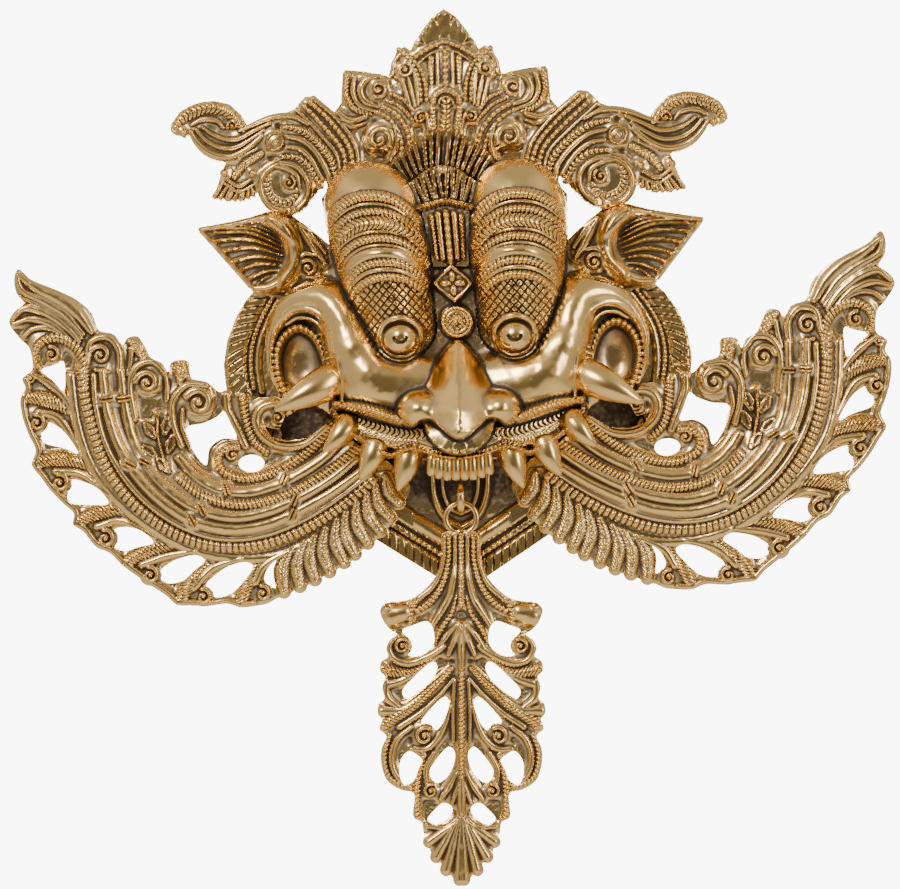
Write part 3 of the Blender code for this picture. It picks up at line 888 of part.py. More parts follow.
def build():
    for old in list(bpy.data.objects):
        bpy.data.objects.remove(old)
    gold = (0.72, 0.50, 0.21)
    mask = solid("mask", *largest(*cast(carve_mask(1.0), place=leaning, hollow=hollow_back)), gold)
    thin_out(mask, 5000)
    unite(mask, solid("teeth_shape", *teeth()), "MANIFOLD")
    for name, right in (("wing_left", False), ("wing_right", True)):
        r = carve_wing(1.0)
        lip_hole(r, right)
        place = turned(WING_PIVOT, WING_TURN, mirror=True) if right else None
        wing = solid(name, *largest(*cast(r, SHIELD_THICKNESS + WING_GAP, place)), gold)
        thin_out(wing, 2200)
    hook_path = [(0, -9, -93), (0, -16, -91), (0, -23, -92), (0, -27, -97), (0, -26, -103), (0, -21, -106.3),
                 (0, -15, -106), (0, -10, -103.5), (0, -7.4, -101)]
    solid("hook", *horn(hook_path, [HOOK_ROD] * 9, 10), gold)
    swing = turned((RING_CENTRE[0], RING_CENTRE[2]), PENDANT_TURN)
    pendant = solid("pendant", *largest(*cast(carve_pendant(0.8), PENDANT_BACK, swing)), gold)
    thin_out(pendant, 1050)
    unite(pendant, solid("ring_shape", *torus(RING_CENTRE, RING_RADIUS, RING_ROD)))


build()
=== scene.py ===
"""Kirtimukha wall mask of cast brass: the fine carving, the brass and its patina, the light and the view.

Drawing sizes are in millimetres, counted from the middle of the face: X to the viewer's right,
Z up, heights in front of the wall. The model's origin is HANGING_HEIGHT above the face's middle.
"""
from math import cos, pi, radians, sin

import bpy
import numpy as np
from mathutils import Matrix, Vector


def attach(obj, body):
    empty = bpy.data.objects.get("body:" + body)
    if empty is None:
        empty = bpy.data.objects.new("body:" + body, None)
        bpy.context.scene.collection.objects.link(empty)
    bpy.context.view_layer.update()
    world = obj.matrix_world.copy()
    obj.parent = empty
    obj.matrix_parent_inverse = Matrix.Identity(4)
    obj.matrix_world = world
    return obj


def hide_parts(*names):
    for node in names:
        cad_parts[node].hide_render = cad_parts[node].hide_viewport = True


MM = 0.001
HANGING_HEIGHT = 90.0
SHIELD_THICKNESS = 4.2
CROWN_THICKNESS = 8.0
SPRAY_THICKNESS = 7.0
EAR_THICKNESS = 7.0
FACE_DEPTH = 26.0
HOLLOW_HALF_WIDTH = 54.0
HOLLOW_HALF_HEIGHT = 56.0
HOLLOW_DEPTH = 36.0
WALL = 5.0
WING_GAP = 2.4
WING_THICKNESS = 4.4
WING_TURN = 3.2
WING_PIVOT = (35.0, -85.0)
WING_BACK = SHIELD_THICKNESS + WING_GAP
LIP_CLEARANCE = 0.9
PENDANT_BACK = 14.0
PENDANT_THICKNESS = 4.5
PENDANT_TURN = -1.1
RING_CENTRE = (0.0, -18.0, -109.0)
RING_RADIUS = 7.75
RING_ROD = 1.55
HOOK_ROD = 1.8
PATH_STEP = 1.5
SCROLL_SWEEP = 432.0
DENTS = 0.07
CAMERA_PLACE = (-0.0048, -2.262, -0.1622)
CAMERA_ROLL = 1.2
CAMERA_LENS = 180

def smooth(points):
    """A smooth curve through the points, as a close polyline."""
    p = np.array(points, float)
    if len(p) < 3:
        n = max(2, int(np.hypot(*(p[-1] - p[0])) / PATH_STEP) + 1)
        return p[0] + np.linspace(0, 1, n)[:, None] * (p[-1] - p[0])
    closed = np.allclose(p[0], p[-1])
    step = np.maximum(np.hypot(*np.diff(p, axis=0).T) ** 0.5, 1e-3)
    t = np.concatenate([[0], np.cumsum(step)])
    before = p[-2] if closed else 2 * p[0] - p[1]
    after = p[1] if closed else 2 * p[-1] - p[-2]
    q = np.vstack([before, p, after])
    first, last = (step[-1], step[0]) if closed else (step[0], step[-1])
    knots = np.concatenate([[-first], t, [t[-1] + last]])
    out = []
    for k in range(1, len(q) - 2):
        t0, t1, t2, t3 = knots[k - 1:k + 3]
        p0, p1, p2, p3 = q[k - 1:k + 3]
        n = max(2, int(np.hypot(*(p2 - p1)) / PATH_STEP) + 1)
        u = np.linspace(t1, t2, n, endpoint=False)[:, None]
        a1 = ((t1 - u) * p0 + (u - t0) * p1) / (t1 - t0)
        a2 = ((t2 - u) * p1 + (u - t1) * p2) / (t2 - t1)
        a3 = ((t3 - u) * p2 + (u - t2) * p3) / (t3 - t2)
        b1 = ((t2 - u) * a1 + (u - t0) * a2) / (t2 - t0)
        b2 = ((t3 - u) * a2 + (u - t1) * a3) / (t3 - t1)
        out.append(((t2 - u) * b1 + (u - t1) * b2) / (t2 - t1))
    return np.vstack([*out, p[-1:]])


def arc(centre, radius, start, end, shrink=1.0):
    """Points along an ellipse or, with shrink below 1, along a scroll. Angles are in degrees."""
    rx, rz = radius if isinstance(radius, tuple) else (radius, radius)
    n = max(5, int(abs(end - start) / 24) + 1)
    k = np.linspace(0, 1, n)
    a = np.radians(start + (end - start) * k)
    r = 1 + (shrink - 1) * k
    return np.column_stack([centre[0] + rx * r * np.cos(a), centre[1] + rz * r * np.sin(a)])


def along(values, t):
    """Sizes given at even steps of a path, at the shares t of it."""
    values = np.atleast_1d(np.array(values, float))
    return np.interp(t, np.linspace(0, 1, len(values)), values) if len(values) > 1 else values[0] + 0 * t


SHAPES = {
    "round": lambda q: np.sqrt(1 - q**2),
    "ridge": lambda q: 1 - q,
    "bell": lambda q: (1 - q**2) ** 2,
    "swell": lambda q: (1 - q**2) ** 0.8,
    "flat": lambda q: np.sqrt(np.minimum(1, 3 * (1 - q))),
}
MARKS = {  # pitch along the band, slant, bow, depth
    "beads": (0, 0, 0, 1.6),
    "cord": (2.2, 0.3, 0, 1.7),
    "discs": (3.1, 0.1, 0, 1.9),
    "hatch": (2, 0.8, 0, 1.1),
    "bows": (2.5, 0, 0.75, 1.3),
    "veins": (2, 0, 1, 0.8),
    "border": (4.8, 0.7, 0, 1.4),
    "scales": (1.7, 0, -0.9, 0.6),
    "leaf": (1.8, 0, 1.2, 0.5),
    "pearls": (2.9, 0, 0, 2.3),
}


def carving(mark, s, off, half):
    """Depth of the cuts across a band, at a length s along it and a signed distance off its middle."""
    pitch, slant, bow, depth = MARKS[mark]
    if mark == "beads":
        pitch = 1.9 * np.mean(half)
    lean = slant * off + bow * (np.abs(off) if mark in ("veins", "leaf") else off**2 / half)
    u = ((s + lean) / pitch) % 1 - 0.5
    if mark in ("beads", "cord", "discs", "pearls"):
        return depth * (1 - np.sqrt(1 - 4 * u**2))
    cut = np.clip(1 - (0.5 - np.abs(u)) * (9 if mark == "border" else 4.5), 0, 1)
    if mark in ("veins", "leaf"):
        cut = np.maximum(cut, 1 - np.clip(np.abs(off) / 0.6, 0, 1))
    return depth * cut


def blurred(a, reach):
    """The mean over a square of 2 reach + 1 cells, taken twice."""
    for _ in range(2):
        for axis in (0, 1):
            pad = [(reach + 1, reach) if k == axis else (0, 0) for k in (0, 1)]
            total = np.cumsum(np.pad(a, pad, mode="edge"), axis=axis)
            n = a.shape[axis]
            late = np.take(total, np.arange(2 * reach + 1, 2 * reach + 1 + n), axis=axis)
            early = np.take(total, np.arange(n), axis=axis)
            a = (late - early) / (2 * reach + 1)
    return a


class Relief:
    """A carved ground: a height above the wall and a signed distance inside the outline.

    Where growing is true, bands and domes that pass the outline take it with them.
    """

    def __init__(self, x0, x1, z0, z1, step, mirrored=True):
        self.step = step
        self.x = np.arange(x0, x1 + step / 2, step)
        self.z = np.arange(z0, z1 + step / 2, step)
        self.X, self.Z = np.meshgrid(self.x, self.z)
        self.h = np.zeros_like(self.X)
        self.ground = np.zeros_like(self.X)
        self.cover = np.full_like(self.X, -99.0)
        self.sides = (1, -1) if mirrored else (1,)
        self.floor = 0.0
        self.growing = False

    def window(self, low, high):
        """The rows and columns of the grid between two corners."""
        j0, j1 = np.searchsorted(self.x, [low[0], high[0]])
        i0, i1 = np.searchsorted(self.z, [low[1], high[1]])
        return slice(max(i0 - 1, 0), i1 + 1), slice(max(j0 - 1, 0), j1 + 1)

    def copies(self, points):
        """The smoothed path, and its mirror image unless it runs up the middle."""
        path = smooth(points)
        for side in self.sides:
            yield path * (side, 1), side
            if np.allclose(path[:, 0], 0):
                return

    def near(self, path, reach):
        """Distance to a path, the share and the length passed there, and the distance with its side."""
        w = self.window(path.min(0) - reach, path.max(0) + reach)
        X, Z = self.X[w], self.Z[w]
        best = np.full(X.shape, 99.0)
        passed, off = np.zeros(X.shape), np.zeros(X.shape)
        steps = np.diff(path, axis=0)
        lengths = np.hypot(*steps.T)
        starts = np.concatenate([[0], np.cumsum(lengths)])
        for a, d, length, start in zip(path[:-1], steps, lengths, starts):
            if length < 1e-6:
                continue
            v = self.window(np.minimum(a, a + d) - reach, np.maximum(a, a + d) + reach)
            v = tuple(slice(max(s.start - o.start, 0), s.stop - o.start) for s, o in zip(v, w))
            px, pz = X[v] - a[0], Z[v] - a[1]
            u = np.clip((px * d[0] + pz * d[1]) / length**2, 0, 1)
            gap = np.hypot(px - u * d[0], pz - u * d[1])
            nearer = gap < best[v]
            best[v] = np.where(nearer, gap, best[v])
            passed[v] = np.where(nearer, start + u * length, passed[v])
            off[v] = np.where(nearer, np.copysign(gap, d[0] * pz - d[1] * px), off[v])
        return w, best, passed / starts[-1], passed, off

    def lift(self, w, inside, value, cover=None, ground=False, blend=0.0, grow=None):
        """Raises the places inside to a value, blending it into what is there."""
        if ground:
            self.ground[w] = np.where(inside, np.maximum(self.ground[w], value), self.ground[w])
        old = self.h[w]
        top = np.maximum(old, value)
        if blend:
            top = top + np.maximum(blend - np.abs(old - value), 0) ** 2 / (4 * blend)
        self.h[w] = np.where(inside, top, old)
        if self.growing if grow is None else grow:
            self.cover[w] = np.maximum(self.cover[w], cover)

    def base(self, w):
        """The level that bands and domes stand on."""
        return np.maximum(self.ground[w], self.floor)

    def rib(self, points, width, rise, mark=None, shape="round", ground=False, grow=None, foot=0.0):
        """A raised band along a path; width is half its width, and it and rise may change along it."""
        for path, side in self.copies(points):
            w, d, t, s, off = self.near(path, np.max(width) + 2 * self.step)
            half = along(width, t)
            raised = along(rise, t) * SHAPES[shape](np.clip(d / half, 0, 1))
            if mark:
                raised = raised - np.minimum(carving(mark, s, off * side, half), 0.7 * raised)
            self.lift(w, d < half, self.base(w) + foot + raised, half - d, ground, grow=grow)

    def body(self, points, width, base, rise, shape="round", blend=0.0):
        """A rib that stands on a level of its own. The places that it takes are handed back."""
        taken = np.zeros(self.X.shape, bool)
        for path, _ in self.copies(points):
            w, d, t, *_ = self.near(path, np.max(width) + 2 * self.step)
            half = along(width, t)
            value = along(base, t) + along(rise, t) * SHAPES[shape](np.clip(d / half, 0, 1))
            self.lift(w, d < half, value, blend=blend, grow=False)
            taken[w] |= d < half
        return taken

    def trim(self, points, width, rise, mark=None, within=None):
        """A band laid on whatever is there, and following it; a negative rise cuts it in."""
        for path, side in self.copies(points):
            w, d, t, s, off = self.near(path, np.max(width) + 2 * self.step)
            half = along(width, t)
            raised = along(rise, t) * SHAPES["round"](np.clip(d / half, 0, 1))
            if mark:
                raised = raised - np.where(d < half, carving(mark, s, off * side, half), 0)
            if within is not None:
                raised = raised * within[w]
            self.h[w] += raised

    def outline(self, points, curved):
        """The signed distance inside an outline; one that starts and ends at X = 0 is half of it."""
        points = np.array(points, float)
        if len(self.sides) > 1 and abs(points[0, 0]) + abs(points[-1, 0]) < 1e-6:
            points = np.vstack([points, points[-2:0:-1] * (-1, 1)])
        closed = np.vstack([points, points[:1]])
        path = smooth(closed) if curved else closed
        for side in self.sides:
            turn = path * (side, 1)
            w, d, *_ = self.near(turn, 4.0)
            X, Z = self.X[w], self.Z[w]
            inside = np.zeros(X.shape, bool)
            for (xa, za), (xb, zb) in zip(turn[:-1], turn[1:]):
                if za != zb:
                    inside ^= ((za > Z) != (zb > Z)) & (X < (xb - xa) * (Z - za) / (zb - za) + xa)
            yield w, np.where(inside, d, -d)

    def plate(self, points, level, curved=True, grow=True):
        """A flat piece of ground inside an outline."""
        self.floor = self.floor or level
        for w, signed in self.outline(points, curved):
            self.lift(w, signed > 0, level + 0 * signed, signed, True, grow=grow)

    def hole(self, points, margin=0.0, curved=True):
        """An opening, wider than its outline by a margin."""
        for w, signed in self.outline(points, curved):
            self.cover[w] = np.minimum(self.cover[w], -signed - margin)

    def dome(self, centre, radius, rise, ground=False, grow=None, power=0.5):
        rx, rz = radius if isinstance(radius, tuple) else (radius, radius)
        for side in self.sides if centre[0] else (1,):
            c = np.array([centre[0] * side, centre[1]])
            w = self.window(c - (rx, rz), c + (rx, rz))
            q = ((self.X[w] - c[0]) / rx) ** 2 + ((self.Z[w] - c[1]) / rz) ** 2
            value = self.base(w) + rise * np.clip(1 - q, 0, 1) ** power
            self.lift(w, q < 1, value, (1 - np.sqrt(q)) * min(rx, rz), ground, grow=grow)

    def volute(self, centre, radius, start, rise, hand=1, mark=None):
        """A scroll winding inwards from an angle in degrees; hand 1 winds anticlockwise."""
        band = radius * 0.3
        self.dome(centre, radius, rise * 0.25, grow=True, power=0.2)
        path = arc(centre, radius - band * 0.8, start, start + hand * SCROLL_SWEEP, 0.25)
        self.rib(path, [band, band * 0.55], rise, mark, grow=True)
        self.dome(centre, radius * 0.28, rise * 1.05, grow=True)

    def fan(self, starts, ends, count, width, rise, bend=0.0, mark=None, shape="round"):
        """Flutes that run from one curve to another."""
        a, b = smooth(starts), smooth(ends)
        for k in range(count):
            p, q = (c[int((k + 0.5) / count * (len(c) - 1))] for c in (a, b))
            middle = (p + q) / 2 + bend * np.array([q[1] - p[1], p[0] - q[0]])
            self.rib([p, middle, q], width, rise, mark, shape, grow=True)


# The mask

FACE_HALF = [
    (0, 88), (-26, 71), (-47, 70), (-61.5, 52), (-59.5, 30), (-70, 8), (-88, 2), (-95, -8), (-96, -20),
    (-95, -35), (-89, -46), (-80, -52), (-68, -53), (-62, -58), (-57, -65), (-50, -71), (-42, -76),
    (-34, -80), (-26, -79), (-16, -80), (0, -83)]
FACE_EDGE = FACE_HALF + [(-x, z) for x, z in FACE_HALF[-2:0:-1]]
EAR_GAP = [(-75, 42.5), (-69, 47.5), (-62, 49.5), (-60.5, 40), (-61, 32.5), (-68, 36.5)]


def carve_shield(r):
    """The shield, its borders and the collar under the mouth."""
    half = [
        (0, 20), (-90, 20), (-100, 7), (-105, 2), (-111, -7), (-115.5, -18), (-117.5, -30), (-116.5, -42),
        (-110, -56), (-100, -69), (-80, -89), (-60, -106), (-43, -119), (-16, -136.5), (0, -147)]
    r.plate(half, SHIELD_THICKNESS, curved=False)
    r.rib([(-97.5, 7), (-105, -6), (-110.5, -19), (-111.5, -31), (-109.5, -44), (-102, -56), (-94, -66)],
        5.8, 2.2, "border", "flat")
    r.rib([(-91, 4), (-98, -7), (-102.5, -18), (-104, -30), (-102.5, -43)], 1.2, 2.4, "beads")
    r.rib([(-88, 2), (-94, -8), (-98.5, -18), (-100, -30), (-98.5, -44)], 1.8, 1.6)
    r.rib([(-52, -109), (-38, -118.5), (-14, -134), (0, -142.5)], 5.4, 2, "border", "flat")
    r.rib([(-44, -105), (-33, -112.5), (-11, -126.8), (0, -134.5)], 1.7, 2.6, "beads")
    r.rib([(-40, -99), (-29, -106.5), (-9, -119.5), (0, -126)], [4.4, 4.6, 4], 3, shape="swell")
    r.rib([(-14, -84), (-13, -98), (-8, -109), (0, -114)], 1.7, 2.8)
    r.rib([(-9, -86), (-8.4, -97), (-5, -104.5), (0, -107)], 1.2, 2)


def carve_crown(r):
    """The middle of the crown: fan, pillar, scrolls and beaded bands."""
    r.growing = True
    half = [
        (0, 146), (-6, 142), (-11, 135.5), (-15.5, 129), (-17, 125.5), (-20, 127.5), (-24, 125.5),
        (-26.5, 119), (-28.5, 113), (-40, 115.5), (-50.5, 116.5), (-52, 108), (-52.5, 100), (-56, 95.5),
        (-66, 104), (-71, 103.5), (-77, 97), (-82, 88), (-70, 66), (-50, 60), (0, 60)]
    r.plate(half, CROWN_THICKNESS, curved=False)
    r.dome((0, 92), (34, 36), 4, ground=True, power=0.7)
    r.fan([(-0.6, 131), (-4.5, 129), (-9.5, 125)], [(-0.6, 143), (-5.4, 138.8), (-10, 132.6),
        (-13.6, 125.2)], 5, [1.5, 2.8, 2.2], 2.8, shape="flat")
    r.rib([(-15.5, 121.6), (-8, 126.6), (0, 129.4)], 1.6, 4.6, "beads")
    r.rib([(-13, 119), (-7, 123.6), (0, 126)], 0.9, 3)
    r.rib([(0, 126), (0, 106)], 1.7, 4.4, "beads")
    r.rib([(-3.7, 123.5), (-3.7, 106)], [1.5, 1.2], 3.2)
    r.rib([(-7, 121), (-6.8, 106)], [1.9, 1.3], 3.2, "veins")
    r.rib([(-9.6, 99), (-10.4, 109), (-13.5, 117.5), (-20, 124.5)], 1.35, 4, "beads")
    r.rib([(-12.4, 99), (-13.2, 110), (-16.4, 118.8), (-23, 126)], 1.35, 3.6, "beads")
    r.volute((-20.4, 115.6), 5.2, 60, 4.2, -1)
    r.rib([(-16.6, 118), (-14.6, 109), (-14, 98)], [1, 1.6, 1.2], 3.2)
    r.rib([(-18.6, 111.6), (-17, 104), (-15.6, 97)], [1, 1.6, 1.2], 3)
    r.rib([(-21.5, 110.6), (-19.6, 103), (-17.6, 96)], [1, 1.5, 1.2], 2.6)
    r.rib([(-26.5, 113.5), (-25.5, 119.5), (-22, 124)], 1.3, 2.4)
    r.rib(arc((0, 98.5), 6.6, 0, 180), 1.9, 5, "hatch")
    r.rib(arc((0, 98), 3.6, 0, 180), 1, 4)
    r.rib([(-6.8, 98), (-6.2, 86)], [1.8, 2.4], 3.6, "veins")
    r.rib([(0, 100), (0, 84)], 3.3, 4, "bows")
    r.volute((-12.6, 91.5), 3.8, 90, 3.8, 1)
    r.rib([(-9.8, 93), (-8.2, 86), (-9, 80)], 1.3, 3.4)
    r.volute((-33.6, 106.4), 5.6, 250, 4.8, 1)
    r.rib([(-34, 97.6), (-40.5, 100.4), (-42.6, 106), (-40, 111), (-33, 113)], [1.4, 2.2, 2.2, 2, 1.2], 3.4)
    r.rib([(-35.4, 95.4), (-43.4, 98.6), (-46.4, 105), (-45.4, 112.6)], [1.2, 1.6, 1.6, 1.2], 3)
    r.rib([(-49.6, 114), (-49.8, 103.5), (-46, 97.2), (-38, 93.6)], 1.9, 2.8, "hatch")
    r.rib([(-54.5, 95), (-48, 91), (-40, 92.5)], [1.2, 2.2, 1.4], 3.4)
    r.rib([(-53, 91.5), (-46, 88), (-40.5, 89.5)], [1, 1.8, 1], 2.8)
    r.rib([(-66.5, 102.4), (-53.4, 91), (-44, 78), (-41.6, 66)], 1.3, 3)
    r.rib([(-69.2, 101.5), (-56, 89), (-47, 77), (-44.6, 66)], 1.6, 3.8, "beads")
    r.rib([(-72.2, 99.4), (-59.2, 86.6), (-50.2, 75.4), (-48, 65)], 1.6, 3.8, "beads")
    r.rib([(-75, 96.8), (-62, 84), (-53.2, 73.8), (-51, 64)], 1.2, 3)
    r.volute((-32.6, 81.2), 8.6, 330, 5.4, 1)
    r.rib([(-24.3, 86), (-23.6, 78), (-26, 70)], 1.9, 4.2)
    r.rib([(-35.6, 95.4), (-28, 91), (-21.8, 81.5), (-20.6, 72)], 1.6, 4, "beads")
    r.rib([(-32.6, 98), (-24.8, 93.4), (-18.4, 84), (-17, 76)], 1.6, 4, "beads")
    r.rib([(-30.4, 101), (-22.6, 97), (-16.4, 90)], 1.3, 3.2, "hatch")
    r.rib([(-28.5, 104), (-21.6, 101), (-16.6, 95.5)], 1.3, 2.8, "hatch")


def carve_comb(r):
    """The stepped comb between the brows, with its flower and boss."""
    r.plate([(0, 50), (-26, 50), (-30, -20), (0, -30)], 25, curved=False)
    r.plate([(0, 85), (-7, 84), (-12.5, 82), (-17.5, 78.5), (-22, 73.5), (-27, 66), (-21, 57), (0, 50)], 22)
    r.fan([(-1, 66), (-9, 65), (-19, 59)], [(-1.5, 84), (-8, 83), (-14, 80), (-19.5, 76), (-25.5, 67.5)], 7,
        [1.1, 1.45], 3.4, shape="flat")
    r.plate([(0, 67), (-7, 65), (-17, 58), (-20, 54), (-15, 46.5), (0, 50)], 28, curved=False)
    r.fan([(-1, 51), (-14, 47)], [(-1.4, 66), (-6.5, 64.6), (-12, 61), (-18, 56)], 6, [1, 1.5], 3,
        shape="flat")
    r.dome((0, 64), 2.6, 4.5)
    r.plate([(0, 50), (-15, 46.5), (-11, 5), (-12, -14), (-8, -24), (0, -24)], 31, curved=False)
    r.rib([(-16.5, 44), (0, 48.5)], 3.3, 6.5, "bows", "ridge")
    r.plate([(0, 46), (-12, 44), (-9, 16), (0, 16)], 33.5, curved=False)
    r.rib([(0, 43), (0, 18)], 1.9, 5, "beads")
    r.rib([(-3.9, 42), (-3.5, 20)], [1.8, 1.5], 3.4)
    r.rib([(-7.4, 41), (-6.6, 20)], [1.5, 1.2], 2.6, "hatch")
    r.plate([(0, 17.6), (-10, 7.5), (0, -2.6), (10, 7.5)], 37, curved=False)
    r.rib([(0, 16), (-8.4, 7.5), (0, -1)], 1.1, 2.4)
    for petal, size in (((0, 11), (1.7, 2.9)), ((-3.5, 7.5), (2.9, 1.7)), ((0, 4), (1.7, 2.9))):
        r.dome(petal, size, 2.2)
    r.dome((0, -11.6), 8.4, 6.5, ground=True, power=0.25)
    r.rib(arc((0, -11.6), 7.4, 0, 360), 1.2, 1.4, "cord")
    r.rib(arc((0, -11.6), 5.2, 0, 360), 0.7, 0.9)


def carve_spray(r):
    """The spray of fronds at each end of the crown."""
    r.plate([(-60, 60), (-75, 98), (-85, 94), (-95, 91.5), (-101, 90), (-104, 95), (-110, 100.5),
        (-118, 102.4), (-127.7, 100.7), (-135.4, 96.3), (-139.7, 90.5), (-138, 86), (-133, 84.6),
        (-129, 87), (-127, 85), (-122, 79), (-117, 75), (-111, 72), (-113, 67), (-118, 54), (-110, 53),
        (-100, 54), (-94.5, 56), (-91.5, 50), (-83.5, 44.6), (-76, 46), (-66.5, 52)], SPRAY_THICKNESS,
        curved=False)
    r.rib([(-137.5, 88.5), (-134, 93.5), (-127.5, 97.2), (-119.5, 98.8), (-112, 97), (-106, 92),
        (-102.6, 87)], [2, 3.4, 3.5, 3.4, 3.4, 3, 1.6], 3.4, "bows")
    r.dome((-132.6, 86.6), 2.2, 4.4)
    r.rib([(-129, 90.5), (-123.5, 93), (-116, 92), (-113, 88.5)], [1.2, 1.9, 1.7, 1], 3.6)
    r.volute((-108.4, 89.6), 3.6, 200, 3.4, -1, mark="hatch")
    r.rib([(-129.4, 87), (-125, 80.5), (-118, 75.4), (-109, 74), (-101, 77.5), (-93, 84)],
        [1.4, 2.1, 2.2, 2, 1.8], 4.2)
    r.rib([(-126.5, 88), (-121.4, 82.4), (-115, 79), (-107, 78.6), (-99, 82.4), (-92, 87)],
        [1.2, 1.6, 1.7, 1.6, 1.4], 3.6)
    r.rib([(-123.4, 89), (-118, 85.2), (-112, 83), (-105, 83), (-98, 86.4), (-89, 90.4)],
        [1, 1.5, 1.6, 1.5, 1.4], 4)
    r.rib([(-105, 86.8), (-98, 89.6), (-88, 93.2), (-77, 93.6), (-69, 89.5)], [1, 1.6, 1.8, 1.8, 1.2], 3.6)
    r.rib([(-106.5, 64), (-101.5, 70), (-92.5, 75.4)], [2, 2.8, 2.2], 3.4, "veins")
    r.rib([(-104.6, 73), (-96, 77.6)], 1.1, 2.6)
    r.dome((-112, 66), 2.2, 4.6)
    r.dome((-97, 65.6), 2.2, 4.6)
    r.rib([(-111, 63), (-105, 59.4), (-98.2, 62.4)], [1, 1.6, 1], 3.6)
    r.rib([(-111.6, 60.6), (-105, 56.6), (-96.6, 60)], 1, 2.8)
    r.fan([(-112.4, 62), (-105, 57.4), (-96.5, 59.5)], [(-117.4, 54.4), (-110, 53.2), (-103, 53.2),
        (-96, 55.6)], 9, [0.9, 1.3], 2.6)
    r.dome((-85.8, 81), 5.6, 4.4, power=0.3)
    r.rib(arc((-85.8, 81), 4.2, 0, 360), 0.9, 5.2)
    r.dome((-85.8, 81), 1.9, 6)
    r.rib([(-81, 88.6), (-72, 86.4), (-63.5, 80), (-56, 71), (-53, 62)], [1.6, 2.7, 2.8, 2.7, 2], 4,
        "bows")
    r.rib([(-79.6, 83.6), (-72, 81.8), (-65, 76.6), (-57.6, 66), (-56, 58)], [1.6, 2, 2, 1.8], 4.6)
    r.rib([(-79.6, 78.6), (-73, 77.6), (-66.6, 72.6), (-60, 62)], [1.4, 1.9, 1.9, 1.6], 4.4)
    r.rib([(-82, 73.4), (-74, 73), (-67.4, 68.6), (-61.4, 59)], [1.6, 2.5, 2.5, 1.8], 3.8, "bows")
    r.dome((-80.4, 58), (14.6, 13.8), 2, power=0.25)
    r.rib(arc((-80.4, 58), (12.6, 12), -60, 265), 2, 4.8)
    r.rib([(-86.6, 67.6), (-90, 60.5), (-88, 53.4), (-81.6, 50), (-75.6, 52.4), (-74, 57)],
        [1.6, 2.8, 3.2, 3.2, 2.6, 1.6], 3.2, "bows")
    r.rib([(-84.4, 68.6), (-79, 67.6), (-73.6, 64), (-72.4, 58.6)], [1.4, 2, 2, 1.4], 5)
    r.volute((-78, 60.4), 4.6, 60, 5, -1)


def carve_ear(r):
    """The pointed ear with its fluted leaf and rolled edge."""
    r.growing = True
    r.plate([(-126.5, 39), (-119, 40), (-110, 41.3), (-98, 44), (-90, 46.5), (-78, 44.5), (-70, 38),
        (-64, 33), (-50, 20), (-56, -2), (-80, 0), (-99, 6), (-103, 12), (-110, 20), (-118, 30)],
        EAR_THICKNESS, curved=False)
    r.plate([(-90, 43), (-82, 42), (-70, 36), (-60, 30), (-55, 5), (-70, 4), (-86, 9), (-79, 18),
        (-77, 30)], EAR_THICKNESS + 4, grow=False)
    r.rib([(-100, 42), (-90, 42.6), (-83, 38.4), (-78.8, 30), (-79, 21), (-84, 13), (-92, 8.6), (-100, 8)],
        [1.6, 3, 3.6, 3.6, 3.4, 3.2, 2.8, 1.8], [4, 6.5, 8, 8, 7, 6, 5, 3.5])
    r.rib([(-125.4, 38), (-112, 39.6), (-100, 42)], [1.2, 1.8, 1.6], 3.6)
    r.rib([(-125, 37), (-118, 29), (-110, 19.4), (-102, 9.6)], [1.2, 1.6, 1.6], 2.6)
    r.fan([(-86, 36), (-84.6, 30), (-84, 24), (-85.6, 18), (-89, 13.4)],
        [(-96, 41), (-112, 38.4), (-121, 34.5), (-115, 26), (-109, 19.5), (-102, 11.6), (-94, 9.4)], 10,
        [0.8, 1.9, 1.5], 3, 0.1, shape="ridge")
    r.rib([(-76, 41), (-71.6, 34), (-67, 26), (-62.6, 20)], [1.4, 2.4, 2.2, 1.4], 3.4)
    r.rib([(-72, 39.6), (-67.4, 32.6), (-62, 25)], [1.2, 1.8, 1.4], 2.8)
    r.volute((-71.4, 17.6), 5.4, 130, 4.4, -1)
    r.rib([(-77.6, 19), (-73, 24.4), (-67, 23.6)], [1, 1.8, 1], 3.6)
    r.rib([(-67, 13.6), (-61, 9.6), (-56, 3)], 1.9, 3.4, "cord")
    r.rib([(-80, 7), (-73, 9.6), (-66, 9.4)], [0.9, 1.6, 0.9], 3)
    r.rib([(-84, 4.6), (-76, 6.2), (-68, 5.2)], [0.9, 1.4, 0.9], 2.4)


BROW_HEIGHTS = (-12.5, 0, 12.5, 25, 36, 45.5)
BROW_MIDDLE = (27.8, 30.5, 32.3, 33.3, 35, 36.5)
BROW_HALF = (18, 20.5, 23, 24.5, 25, 24)
# Height, half width, rise and mark
BROW_BANDS = ((51, 2.8, 3.4, "cord"), (47, 0.9, 1.4, None), (43.2, 2.1, 2.6, "cord"),
              (37.6, 3.6, 3.2, "bows"), (33.2, 0.8, 1.2, None), (29.8, 2.1, 2.6, "cord"),
              (26.4, 0.8, 1.2, None), (22.6, 2.8, 2.2, None), (17.8, 2.1, 2.6, "cord"),
              (14.4, 1.2, 1.4, None), (10.6, 2.1, 2.7, "cord"))


def brow_band(r, rolls, height, width, rise, mark):
    """A band across both brow rolls, bowed over them."""
    c, half = (np.interp(height, BROW_HEIGHTS, sizes) for sizes in (BROW_MIDDLE, BROW_HALF))
    across = (-0.96, -0.84, -0.64, -0.36, 0, 0.36, 0.64, 0.84, 0.96)
    r.trim([(half * u - c, height - 13.5 * abs(u) ** 2.4) for u in across], width, rise, mark, rolls)


